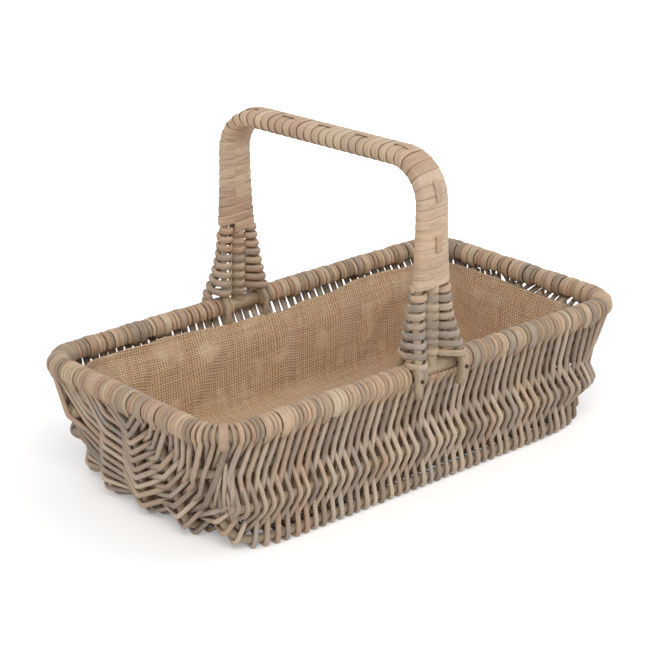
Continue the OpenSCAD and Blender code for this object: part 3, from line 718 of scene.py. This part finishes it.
def build_weaving():
    rng = random.Random(11)
    plans = [lap_plan(rng), lap_plan(rng)]
    groups = {"weavers_middle": Strands(1), "weavers_left": Strands(2), "weavers_right": Strands(3)}
    for right in (0, 1):
        for i, s in enumerate(WEAVER_S):
            laps = [plans[rim][0][(i, right)] and not in_foot_gap(s, right, rim) for rim in (0, 1)]
            turns = [(rng.uniform(-0.3, 0.45), rng.uniform(-1.5, 1.5)) for _ in (0, 1)]
            side = weaver_side(i, right)
            sway = [rng.uniform(-0.7, 0.7) for _ in range(5)]
            points, normals = weaver_path(s, side, s, laps, turns, sway)
            beside, _ = weaver_path(s + 1, side, s, laps, turns, sway)
            size = rng.uniform(4.4, 5.6)
            widths = crowded(points, beside, size)
            finer, normals = rounded(points, normals, 4.6)
            finer, normals = denser(finer, normals, 12)
            widths = resample(widths, points, finer)
            finer[:, 2] = np.maximum(finer[:, 2], 2.2)
            if right:
                finer, normals = finer * vec(-1, 1, 1), normals * vec(-1, 1, 1)
            taper = np.linspace(1.06, 0.88, len(finer))
            if rng.random() < 0.5:
                taper = taper[::-1]
            on_rim = np.array([clamp((z - RIM_HEIGHT + LAP_R + 6) / 8) for z in finer[:, 2]])
            width = widths * taper * (1 - 0.06 * on_rim)
            height = widths * taper * (0.9 - 0.1 * on_rim)
            group = groups["weavers_middle"]
            if i < END_COUNT:
                group = groups["weavers_right" if right else "weavers_left"]
            group.sweep(finer, normals, width, height, sides=10, wobble=0.3, depth=1 - on_rim)
    build_corner_fill(groups["weavers_middle"])
    stands = {
        "weavers_middle": ("weavers_near_side", "weavers_far_side", "weavers_base", "weavers_base_turns"),
        "weavers_left": ("weavers_left_end",),
        "weavers_right": ("weavers_right_end",),
    }
    for name, strands in groups.items():
        place(strands.object(name), MATERIALS["weaver"], "weaver_willow", *stands[name])
    build_rim_bands(plans, rng)


def build_corner_fill(strands):
    """Short rods let in at each corner, where the side ribs begin and the weavers part."""
    rng = random.Random(17)
    count = 5
    edge, _ = fan_cross(2, SIDE_START_S[1] - 1)
    lower, lower_out = side_cross(1, SIDE_START_S[1] + 4)
    for sign_x, sign_y in ((1, 1), (1, -1), (-1, 1), (-1, -1)):
        for k in range(count):
            t = (k + 0.5) / count
            way = 1 if k % 2 == 0 else -1
            upper, out = side_cross(0, SIDE_START_S[1] + mix(-5, 8, t))
            foot, down = fan_cross(2, SIDE_START_S[1] + mix(13, 34, t))
            points = [upper + vec(0, 0, 14) + out * way * (REACH + 1.5), upper + out * way * REACH,
                      mix(edge, lower, t) + lower_out * (2.5 - way * 2.5), foot - down * REACH]
            normals = [out, out, lower_out, down]
            finer, normals = rounded(points, normals, 6)
            finer, normals = denser(finer, normals, 8)
            sign = vec(sign_x, sign_y, 1)
            size = rng.uniform(4.2, 5.0)
            strands.sweep(finer * sign, normals * sign, size, size * 0.9, sides=10, wobble=0.3)


def build_rim_bands(plans, rng):
    """Broad flat turns between the weavers' own, each with its cut end outside below the rim."""
    sides = {"rim_bands_far": Strands(5), "rim_bands_near": Strands(6)}
    for rim, name in enumerate(sides):
        wanted = []
        for (i, right), (j, other) in plans[rim][1]:
            s = (WEAVER_S[i] + WEAVER_S[j]) / 2 if right == other else HALF_S
            if not (in_foot_gap(s, right, rim) or in_foot_gap(s + PITCH, right, rim)):
                wanted.append((s, right, rng.uniform(8.2, 9.4)))
        for right in (0, 1):
            wanted += [(s, right, rng.uniform(4.4, 5.0)) for s in np.arange(2.4, WEAVER_S[0] - 2, PITCH)]
        for s, right, width in wanted:
            shift = rng.uniform(-1.2, 1.2)
            points, normals = rim_turn(s, 238, -40, HOOP_R + 2.75, shift)
            radial = normals[-1]
            tail = rng.uniform(3, 7)
            down = unit(vec(0, 0, -1) - 0.55 * vec(radial[0], radial[1], 0))
            swell = np.linspace(0, 1, len(points)) ** 3 * 1.3
            points = [p + k * n for p, k, n in zip(points, swell, normals)]
            points.append(points[-1] + tail * down)
            normals.append(unit(vec(radial[0], radial[1], 0.3)))
            points, normals = np.array(points), np.array(normals)
            sign = vec(-1 if right else 1, 1 if rim == 0 else -1, 1)
            sides[name].sweep(points * sign, normals * sign, width, 2.8, sides=12, power=2.4, cap=0.8)
    stands = {
        "rim_bands_far": ("rim_lapping_far", "rim_lapping_left_end"),
        "rim_bands_near": ("rim_lapping_near", "rim_lapping_right_end"),
    }
    for name, strands in sides.items():
        place(strands.object(name), MATERIALS["rim"], "rim_willow", *stands[name])


# Ribs
def fan_path(j):
    down = fan_down(j)
    lengths = np.concatenate([np.linspace(0, down, 6), down + BEND_LEN * np.linspace(0.15, 1, 6),
                              down + BEND_LEN + CURVE_RUN * np.linspace(0.1, 1, 8)])
    half = np.array([fan_at(j, a)[0] for a in lengths])
    return np.concatenate([half, half[::-1] * vec(-1, 1, 1)])


def side_rib_path(j):
    start = math.radians(SIDE_END_ANGLE[j])
    centre = vec(-SIDE_CORNER_X[j], SIDE_Y[j] - SIDE_CORNER[j], SIDE_Z[j])
    half = np.array([centre + SIDE_CORNER[j] * vec(-math.cos(a), math.sin(a), 0)
                     for a in np.linspace(start, math.pi / 2, 8)])
    return np.concatenate([half, half[::-1] * vec(-1, 1, 1)])


def build_ribs():
    wanted = [("rib_base_middle", fan_path(0), 1, "base_rib_middle"), ("rib_base_far", fan_path(1), 1, "base_rib_far"),
              ("rib_base_near", fan_path(1), -1, "base_rib_near"), ("rib_edge_far", fan_path(2), 1, "base_edge_rib_far"),
              ("rib_edge_near", fan_path(2), -1, "base_edge_rib_near"),
              ("rib_upper_far", side_rib_path(0), 1, "upper_side_rib_far"),
              ("rib_upper_near", side_rib_path(0), -1, "upper_side_rib_near"),
              ("rib_lower_far", side_rib_path(1), 1, "lower_side_rib_far"),
              ("rib_lower_near", side_rib_path(1), -1, "lower_side_rib_near")]
    for k, (name, points, sign, node) in enumerate(wanted):
        strands = Strands(20 + k)
        points = points * vec(1, sign, 1)
        normals = np.tile(vec(0.05, 0.1, 1), (len(points), 1))
        points, normals = denser(points, normals, 40)
        strands.sweep(points, normals, RIB_D, RIB_D, sides=12)
        place(strands.object(name), MATERIALS["rod"], "hoop_rod", node)


# The handle
FOOT_Z = RIM_HEIGHT + HOOP_R
LEG_RUN = GRIP_HEIGHT - HANDLE_BEND - FOOT_Z
ARCH_HALF_W = round(HALF_W / math.cos(HANDLE_SKEW), 1)
GRIP_RUN = 2 * (ARCH_HALF_W - HANDLE_BEND)
TURN_RUN = HANDLE_BEND * math.pi / 2
ARCH_RUN = 2 * LEG_RUN + 2 * TURN_RUN + GRIP_RUN
GRIP_SPREAD = CORE_D / 2 + SIDE_ROD_D / 2 + ROD_GAP
STAKE_Y = HALF_W + LAP_R + SIDE_ROD_D / 2 + ROD_GAP


def arch_point(y, z):
    """Point at y along the arch and height z: the handle stands a little turned."""
    return vec(HANDLE_X - y * math.sin(HANDLE_SKEW), y * math.cos(HANDLE_SKEW), z)


def arch_way(y, z):
    return vec(-y * math.sin(HANDLE_SKEW), y * math.cos(HANDLE_SKEW), z)


def other_leg(p):
    return vec(2 * HANDLE_X - p[0], -p[1], p[2])


def arch_at(u):
    """Centre and outward direction of the arch at u, from the far foot to the near one."""
    if u > ARCH_RUN / 2:
        point, d = arch_at(ARCH_RUN - u)
        return other_leg(point), vec(-d[0], -d[1], d[2])
    if u < LEG_RUN:
        return arch_point(ARCH_HALF_W, FOOT_Z + u), arch_way(1, 0)
    if u < LEG_RUN + TURN_RUN:
        a = (u - LEG_RUN) / HANDLE_BEND
        c, s = math.cos(a), math.sin(a)
        point = arch_point(ARCH_HALF_W - HANDLE_BEND + HANDLE_BEND * c, GRIP_HEIGHT - HANDLE_BEND + HANDLE_BEND * s)
        return point, arch_way(c, s)
    return arch_point(ARCH_HALF_W - HANDLE_BEND - (u - LEG_RUN - TURN_RUN), GRIP_HEIGHT), vec(0, 0, 1)


def spread_at(u):
    v = min(u, ARCH_RUN - u)
    t = clamp((LEG_RUN + 10 - v) / (LEG_RUN + 10))
    return GRIP_SPREAD + (FOOT_SPREAD - 1 - GRIP_SPREAD) * t ** 2.2


def foot_push(u):
    return max(0, STAKE_Y - HALF_W) * clamp(1 - u / 50) ** 1.4


def side_rod_half(sign):
    foot = [vec(FOOT_X[0] + sign * (FOOT_SPREAD - 2), STAKE_Y - 2, STAKE_TIP_Z),
            vec(FOOT_X[0] + sign * FOOT_SPREAD, STAKE_Y, RIM_HEIGHT - 8),
            vec(FOOT_X[0] + sign * FOOT_SPREAD, STAKE_Y, RIM_HEIGHT + 6)]
    leg = [arch_at(u)[0] + vec(sign * spread_at(u), foot_push(u), 0) for u in range(16, 140, 12)]
    turn = [arch_at(LEG_RUN + TURN_RUN * k / 8)[0] + vec(sign * spread_at(LEG_RUN), 0, 0) for k in range(9)]
    return foot + leg + turn


def side_rod_points(sign):
    return np.array(side_rod_half(sign) + [other_leg(p) for p in side_rod_half(-sign)[::-1]])


# The inner stakes come up inside the rim and are drawn in among the foot's rows
INNER_TOP_Z = RIM_HEIGHT + 70


def inner_lean(z):
    return clamp((z - RIM_HEIGHT - 6) / (INNER_TOP_Z - RIM_HEIGHT - 6))


def inner_stake(z):
    """Sideways and inward place of an inner stake at height z, from its foot's middle."""
    back = -LAP_R - SIDE_ROD_D / 2 - 2 * ROD_GAP
    return FOOT_SPREAD - 4 - 6 * inner_lean(z), back + 12.5 * inner_lean(z) ** 0.4


def build_handle_rods():
    for sign, name, node in ((-1, "side_rod_left", "handle_side_rod_left"), (1, "side_rod_right", "handle_side_rod_right")):
        strands = Strands(31 + sign)
        points = side_rod_points(sign)
        normals = np.tile(vec(1, 0, 0), (len(points), 1))
        points, normals = denser(points, normals, 12)
        strands.sweep(points, normals, SIDE_ROD_D, SIDE_ROD_D, sides=14, wobble=0.15)
        place(strands.object(name), MATERIALS["rod"], "handle_rod", node)
    stakes = Strands(35)
    for foot, far in enumerate((1, -1)):
        for sign in (-1, 1):
            points = []
            for z in np.linspace(STAKE_TIP_Z - 1, INNER_TOP_Z, 16):
                x, y = inner_stake(z)
                y += 0.45 * max(0, RIM_HEIGHT - 9 - z)
                points.append(vec(FOOT_X[foot] + sign * x, far * (HALF_W + y), z))
            stakes.sweep(points, [vec(1, 0, 0)] * len(points), 6, 6, sides=12)
    place(stakes.object("inner_stakes"), MATERIALS["rod"], "handle_rod", "handle_inner_stakes")


SKEIN_PITCH = 9.2
SKEIN_T = 1.1
SKEIN_TILT = 0.065


def skein_point(u, a, height):
    """Point on the oval that the skein lies on, at turn angle a, with 90 degrees outward."""
    centre, d = arch_at(u)
    rx, rt = spread_at(u) + 4.6 + height, CORE_D / 2 + 1.0 + height
    c, s = math.cos(a), math.sin(a)
    power = 2 / 2.7
    x = math.copysign(abs(c) ** power, c)
    y = math.copysign(abs(s) ** power, s)
    point = centre + rx * x * vec(1, 0, 0) + rt * y * d
    normal = unit(vec(1, 0, 0) * math.copysign(abs(c) ** (2 - power), c) / rx
                  + d * math.copysign(abs(s) ** (2 - power), s) / rt)
    return point, normal


def build_binding():
    """The skein turns: one flat strip wound from leg to leg, each turn a little over the last."""
    rng = random.Random(41)
    first = BINDING_START - FOOT_Z
    turns = int((ARCH_RUN - 2 * first) / SKEIN_PITCH)
    pitch = (ARCH_RUN - 2 * first) / turns
    strands = Strands(42)
    steps = 40
    for k in range(turns):
        points, normals, widths = [], [], []
        lean = rng.uniform(-0.5, 0.5)
        broad = pitch * rng.uniform(1.04, 1.1)
        for m in range(-2, steps + 3):
            t = m / steps
            a = 2 * math.pi * t - math.pi / 2
            u = first + (k + t) * pitch + lean * math.sin(a)
            u = min(max(u, first), ARCH_RUN - first)
            point, normal = skein_point(u, a, SKEIN_T * 0.5)
            points.append(point)
            normals.append(normal)
            in_bend = clamp(min(u - LEG_RUN, ARCH_RUN - LEG_RUN - u) / 8) * clamp((GRIP_RUN / 2 + TURN_RUN
                                                                                   - abs(u - ARCH_RUN / 2)) / 8)
            on_top = abs(u - ARCH_RUN / 2) > GRIP_RUN / 2 - 4
            widths.append(broad * (1 + 0.24 * in_bend * on_top * max(0, math.sin(a))))
        tilt = np.full(len(points), SKEIN_TILT)
        tone = clamp(0.5 + 0.32 * math.sin(0.37 * k + 1) + rng.uniform(-0.12, 0.12))
        strands.sweep(points, normals, widths, SKEIN_T, sides=12, tone=tone, power=3.0, twist=tilt, cap=0.9)
    place(strands.object("skein_binding"), MATERIALS["skein"], "skein", "handle_binding")
    strip = Strands(43)
    points, normals = [], []
    start, stop = first + 8, ARCH_RUN - first - 8
    n = 260
    for k in range(n + 1):
        u = mix(start, stop, k / n)
        phase = ((u - first) / pitch) % 5
        over = clamp((phase - 2.6) / 0.35) * clamp((4.9 - phase) / 0.35)
        point, normal = skein_point(u, math.pi / 2, mix(-SKEIN_T, SKEIN_T * 1.7, over))
        points.append(point)
        normals.append(normal)
    strip.sweep(points, normals, 7.5, 1.0, sides=10, power=3.2)
    place(strip.object("listing_strip"), MATERIALS["skein"], "skein", "handle_listing_strip")


def build_feet():
    """Fine willow woven to and fro round the stakes of each foot."""
    start_z = RIM_HEIGHT + LAP_R + 2.5
    pitch = (BINDING_START + 1 - start_z) / FOOT_ROWS
    rng = random.Random(47)
    for foot, far in enumerate((1, -1)):
        name = "foot_rows_" + ("far", "near")[foot]
        strands = Strands(50 + foot)
        points, normals = [], []
        for row in range(FOOT_ROWS):
            z = start_z + row * pitch
            x = spread_at(z - FOOT_Z)
            outer = foot_push(z - FOOT_Z) + SIDE_ROD_D / 2 + 2
            inner = min(inner_stake(z)[1] - 5, -SIDE_ROD_D / 2 - 2)
            middle = (outer + inner) / 2
            way = 1 if row % 2 == 0 else -1
            front, behind = (outer, inner) if way > 0 else (inner, outer)
            face = way
            reach = x + SIDE_ROD_D / 2 + 2
            core = -face * (CORE_D / 2 + 3.2)
            stops = [(-reach, middle, -1, 0), (-x - 3, front, 0, face), (-x + 4, front, 0, face), (0, core, 0, face),
                     (x - 4, front, 0, face), (x + 3, front, 0, face), (reach, middle, 1, 0)]
            for k, (px, py, nx, ny) in enumerate(stops[::way]):
                points.append(vec(FOOT_X[foot] + px, far * (HALF_W + py), z + pitch * (k / 7 - 0.43)))
                normals.append(vec(nx, far * ny, 0.01))
        points, normals = rounded(points, normals, 6, 6)
        points, normals = denser(points, normals, 4)
        aside = np.abs(points[:, 0] - FOOT_X[foot])
        pair = 2 * len(points) / FOOT_ROWS
        cuts = [0]
        for k in range(1, FOOT_ROWS // 2):
            near = range(int(pair * (k - 0.25)), int(pair * (k + 0.25)))
            cuts.append(max(near, key=lambda i: aside[i]))
        for first, last in zip(cuts, cuts[1:] + [len(points) - 1]):
            part = slice(first, last + 1)
            strands.sweep(points[part], normals[part], rng.uniform(6.2, 7.4), 3.6, sides=12, wobble=0.25)
        place(strands.object(name), MATERIALS["foot"], "foot_willow", "foot_weaving_" + ("far", "near")[foot])


# The liner
LINER_TOP_X = HALF_L - 3 - LIFT - WEAVER_D / 2 - 3
LINER_BASE_X = BASE_HALF - LIFT - WEAVER_D / 2 - 3
LINER_Y = SIDE_Y[0] - LIFT - WEAVER_D / 2 - 1.6
LINER_FLOOR = BASE_Z + LIFT + WEAVER_D / 2 + 1
LINER_FOOT = 12
LINER_FLARE = 7.5
HEM = 12
CREASES = ((0.452, 0.03, 14, 0.012), (0.398, 0.007, -3.5, 0.03), (0.345, 0.014, 6, 0.03), (0.285, 0.012, 6, -0.02),
           (0.225, 0.016, 6, -0.03), (0.165, 0.012, 5, 0.02), (0.105, 0.02, 6, 0.0), (0.05, 0.014, 4, 0.01),
           (0.62, 0.03, 8, -0.01), (0.7, 0.016, 5, 0.02), (0.8, 0.016, 4, -0.02), (0.88, 0.012, 4, 0.02),
           (0.965, 0.025, 8, 0.01))


LINER_SAG = ((-260, 118), (-226, 117), (-121, 112), (-19, 106), (13, 105), (69, 107), (125, 113), (209, 110), (260, 111))


def liner_top(p):
    """Height of the cloth's edge at the place p round it: it sags between the stitches that hold it."""
    x = p[0]
    far = LINER_SAG[0][1]
    for (x0, z0), (x1, z1) in zip(LINER_SAG, LINER_SAG[1:]):
        if x0 <= x <= x1:
            t = (x - x0) / (x1 - x0)
            far = mix(z0, z1, t * t * (3 - 2 * t))
    near = 108 + 1.5 * math.sin(x / 60 + 1)
    return mix(near, far, clamp(p[1] / 120 + 0.5)) + 0.4 * math.sin(x / 9 + p[1] / 13)


def liner_point(t, z, inside=0.0):
    """Point of the cloth's wall at share t round the basket and height z."""
    rise = clamp((z - LINER_FLOOR) / (LINER_TOP - LINER_FLOOR))
    flare = LINER_FLARE * clamp((z - 82) / 24) ** 1.5
    x, y = mix(LINER_BASE_X, LINER_TOP_X, rise) + flare * 0.3, LINER_Y + flare
    p, d = oblong(t, x - inside, y - inside, mix(76, 42, rise))
    depth = 0.0
    for at, wide, deep, lean in CREASES:
        off = (t - at - lean * (1 - rise) + 0.5) % 1 - 0.5
        depth += deep * math.exp(-(off / wide) ** 2) * (0.25 + 0.75 * math.sin(math.pi * clamp(rise * 0.8 + 0.1)))
    a = 2 * math.pi * t
    depth += 0.9 * (1 + math.sin(7 * a + 1.1 + 2 * rise)) * (1.1 - rise)
    return p - d * depth, d


def liner_rows():
    """The cloth's rows from the hem's hidden edge over the top, down the wall and in over the floor."""
    hem = [("wall", -HEM, -1.7), ("wall", -HEM * 0.5, -1.6), ("wall", -1.0, -1.3), ("wall", 0.0, -0.6),
           ("wall", -1.0, 0.0)]
    wall = [("wall", -3.0 - 2.2 * k, 0.0) for k in range(34)]
    foot = [("foot", k / 6, 0.0) for k in range(1, 7)]
    floor = [("floor", k / 16, 0.0) for k in range(1, 17)]
    return hem + wall + foot + floor


def build_liner():
    """The hessian bag: a turned hem, walls that hang from it, a soft turn at the foot, and the floor."""
    around = 420
    rows = liner_rows()
    lowest = LINER_TOP - 3.0 - 2.2 * 33
    verts, uvs = [], []
    for kind, value, inside in rows:
        for k in range(around):
            t = k / around
            if kind == "wall":
                top = liner_top(liner_point(t, LINER_TOP)[0])
                z = top + value * (top - lowest) / (LINER_TOP - lowest)
                p, d = liner_point(t, z, inside)
                verts.append((p[0], p[1], z))
                uvs.append((p[0] + d[0] * z, p[1] + d[1] * z))
                continue
            p, d = liner_point(t, lowest)
            drop = lowest - LINER_FLOOR
            if kind == "foot":
                a = value * math.pi / 2
                p = p - d * LINER_FOOT * (1 - math.cos(a))
                z = lowest - drop * math.sin(a)
            else:
                p = (p - d * LINER_FOOT) * (1 - value)
                z = LINER_FLOOR + 0.6 * math.sin(p[0] / 23) * math.sin(p[1] / 31) * min(1, 6 * value)
            verts.append((p[0], p[1], z))
            uvs.append((p[0] + d[0] * max(z, LINER_FLOOR), p[1] + d[1] * max(z, LINER_FLOOR)))
    faces = []
    for r in range(len(rows) - 1):
        for k in range(around):
            a, b = r * around + k, r * around + (k + 1) % around
            faces.append([a, a + around, b + around, b])
    mesh = bpy.data.meshes.new("hessian_liner")
    mesh.from_pydata((np.array(verts) * MM).tolist(), [], faces)
    mesh.polygons.foreach_set("use_smooth", [True] * len(mesh.polygons))
    layer = mesh.uv_layers.new(name="cloth")
    loops = np.zeros(len(mesh.loops), np.int32)
    mesh.loops.foreach_get("vertex_index", loops)
    layer.data.foreach_set("uv", (np.array(uvs)[loops] * MM).astype(np.float32).ravel())
    obj = bpy.data.objects.new("hessian_liner", mesh)
    bpy.context.scene.collection.objects.link(obj)
    place(obj, MATERIALS["hessian"], "hessian", "liner", "liner_hem")
    return obj


def oblong(t, hx, hy, r):
    """Point and outward direction at share t round an oblong of half sizes hx, hy and corner radius r."""
    sx, sy, arc = hx - r, hy - r, r * math.pi / 2
    total = 4 * (sx + sy + arc)
    run = t * total
    legs = [(2 * sy, "line", vec(hx, -sy), vec(0, 1), vec(1, 0)), (arc, "arc", vec(sx, sy), 0, None),
            (2 * sx, "line", vec(sx, hy), vec(-1, 0), vec(0, 1)), (arc, "arc", vec(-sx, sy), 90, None),
            (2 * sy, "line", vec(-hx, sy), vec(0, -1), vec(-1, 0)), (arc, "arc", vec(-sx, -sy), 180, None),
            (2 * sx, "line", vec(-sx, -hy), vec(1, 0), vec(0, -1)), (arc, "arc", vec(sx, -sy), 270, None)]
    for length, kind, start, way, d in legs:
        if run <= length + 1e-9:
            if kind == "line":
                return start + way * run, d
            a = math.radians(way) + run / r
            d = vec(math.cos(a), math.sin(a))
            return start + r * d, d
        run -= length
    return oblong(0, hx, hy, r)


# Camera, floor and lights
CAMERA = {"azimuth": -41.9, "elevation": 20.96, "roll": -0.16, "distance": 2020, "focal": 2130 / 665 * 36,
          "target": (-5.3, 4.6, 117.3)}


def add_camera():
    a, e = math.radians(CAMERA["azimuth"]), math.radians(CAMERA["elevation"])
    back = Vector((math.sin(a) * math.cos(e), -math.cos(a) * math.cos(e), math.sin(e)))
    right = Vector((0, 0, 1)).cross(back).normalized()
    up = back.cross(right)
    r = math.radians(CAMERA["roll"])
    right, up = right * math.cos(r) + up * math.sin(r), up * math.cos(r) - right * math.sin(r)
    data = bpy.data.cameras.new("camera")
    data.lens = CAMERA["focal"]
    data.sensor_width = 36
    data.clip_end = 50
    obj = bpy.data.objects.new("camera", data)
    place_at = (Vector(CAMERA["target"]) + back * CAMERA["distance"]) * MM
    obj.matrix_world = Matrix((
        (right.x, up.x, back.x, place_at.x), (right.y, up.y, back.y, place_at.y),
        (right.z, up.z, back.z, place_at.z), (0, 0, 0, 1)))
    bpy.context.scene.collection.objects.link(obj)
    bpy.context.scene.camera = obj


def add_floor():
    size = 12
    mesh = bpy.data.meshes.new("floor")
    mesh.from_pydata([(-size, -size, 0), (size, -size, 0), (size, size, 0), (-size, size, 0)], [], [[0, 1, 2, 3]])
    floor = bpy.data.objects.new("floor", mesh)
    bpy.context.scene.collection.objects.link(floor)
    material = bpy.data.materials.new("Pale floor")
    material.use_nodes = True
    w = Wiring(material.node_tree)
    shader = material.node_tree.nodes["Principled BSDF"]
    shader.inputs["Base Color"].default_value = (0.93, 0.93, 0.93, 1)
    shader.inputs["Roughness"].default_value = 0.9
    shader.inputs["Specular IOR Level"].default_value = 0.1
    seen = w.add("ShaderNodeLightPath").outputs["Is Camera Ray"]
    away = w.add("ShaderNodeVectorMath", {0: w.add("ShaderNodeTexCoord").outputs["Object"]}, operation="LENGTH")
    glow = w.add("ShaderNodeMapRange", {0: away.outputs["Value"], 1: 0.3, 2: 1.1, 3: 0.27, 4: 1.0}).outputs[0]
    w.put(w.math("MULTIPLY", seen, glow), shader.inputs["Emission Strength"])
    shader.inputs["Emission Color"].default_value = (1, 1, 1, 1)
    mesh.materials.append(material)


def add_lamp(name, place_at, size, power):
    data = bpy.data.lights.new(name, "AREA")
    data.size = size
    data.energy = power
    obj = bpy.data.objects.new(name, data)
    obj.location = place_at
    obj.rotation_euler = (Vector((0, 0, 0.1)) - Vector(place_at)).to_track_quat("-Z", "Y").to_euler()
    bpy.context.scene.collection.objects.link(obj)


def add_world():
    world = bpy.data.worlds.new("Studio")
    world.use_nodes = True
    bpy.context.scene.world = world
    w = Wiring(world.node_tree)
    background = world.node_tree.nodes["Background"]
    background.inputs[0].default_value = (1, 1, 1, 1)
    path = w.add("ShaderNodeLightPath")
    seen = w.math("MAXIMUM", path.outputs["Is Camera Ray"], path.outputs["Is Glossy Ray"])
    w.put(w.add("ShaderNodeMapRange", {0: seen, 3: 0.62, 4: 1.0}).outputs[0], background.inputs[1])


def finish_frame_nodes():
    """Materials of the frame's own nodes that stay in view."""
    finishes = {"rim_hoop": "bark", "handle_core": "bark", "foot_pins": "iron", "liner_stitches": "hessian"}
    for name, finish in finishes.items():
        obj = FRAME["nodes"][name]
        for slot in obj.material_slots:
            slot.material = MATERIALS[finish]


class TrugLook(bpy.types.PropertyGroup):
    """Sizes that a user may change."""

    lamp_power: bpy.props.FloatProperty(name="Lamp power", description="Power of the key lamp", default=34, unit="POWER")


class TRUG_OT_stage(bpy.types.Operator):
    """Adds the camera, floor, lamps and world"""

    bl_idname = "trug.stage"
    bl_label = "Stage"

    def execute(self, context):
        context.scene.view_settings.view_transform = "Standard"
        add_camera()
        add_floor()
        power = context.scene.trug_look.lamp_power
        add_lamp("key", (-1.4, -1.6, 2.4), 1.6, power)
        add_lamp("fill", (2.2, -1.2, 1.6), 2.0, power * 0.55)
        add_world()
        return {"FINISHED"}


class TRUG_OT_materials(bpy.types.Operator):
    """Makes the willow, skein, hessian and iron finishes"""

    bl_idname = "trug.materials"
    bl_label = "Finishes"

    def execute(self, context):
        make_materials()
        finish_frame_nodes()
        return {"FINISHED"}


class TRUG_OT_weaving(bpy.types.Operator):
    """Weaves the sides, ends and base, and laps the rim"""

    bl_idname = "trug.weaving"
    bl_label = "Weaving"

    def execute(self, context):
        build_weaving()
        build_ribs()
        return {"FINISHED"}


class TRUG_OT_handle(bpy.types.Operator):
    """Adds the handle's rods, binding and woven feet"""

    bl_idname = "trug.handle"
    bl_label = "Handle"

    def execute(self, context):
        build_handle_rods()
        build_binding()
        build_feet()
        return {"FINISHED"}


class TRUG_OT_liner(bpy.types.Operator):
    """Hangs the hessian liner"""

    bl_idname = "trug.liner"
    bl_label = "Liner"

    def execute(self, context):
        build_liner()
        return {"FINISHED"}


OPERATORS = (TRUG_OT_stage, TRUG_OT_materials, TRUG_OT_weaving, TRUG_OT_handle, TRUG_OT_liner)


class TRUG_PT_panel(bpy.types.Panel):
    """Lists the trug's operators"""

    bl_idname = "TRUG_PT_panel"
    bl_label = "Trug"
    bl_space_type = "VIEW_3D"
    bl_region_type = "UI"
    bl_category = "Trug"

    def draw(self, context):
        for operator in OPERATORS:
            self.layout.operator(operator.bl_idname)
        self.layout.prop(context.scene.trug_look, "lamp_power")


CLASSES = (TrugLook,) + OPERATORS + (TRUG_PT_panel,)


def register():
    for cls in CLASSES:
        bpy.utils.register_class(cls)
    bpy.types.Scene.trug_look = bpy.props.PointerProperty(type=TrugLook)


def unregister():
    del bpy.types.Scene.trug_look
    for cls in reversed(CLASSES):
        bpy.utils.unregister_class(cls)


def main():
    register()
    bpy.ops.trug.stage()
    bpy.ops.trug.materials()
    bpy.ops.trug.weaving()
    bpy.ops.trug.handle()
    bpy.ops.trug.liner()


if __name__ == "__main__":
    main()
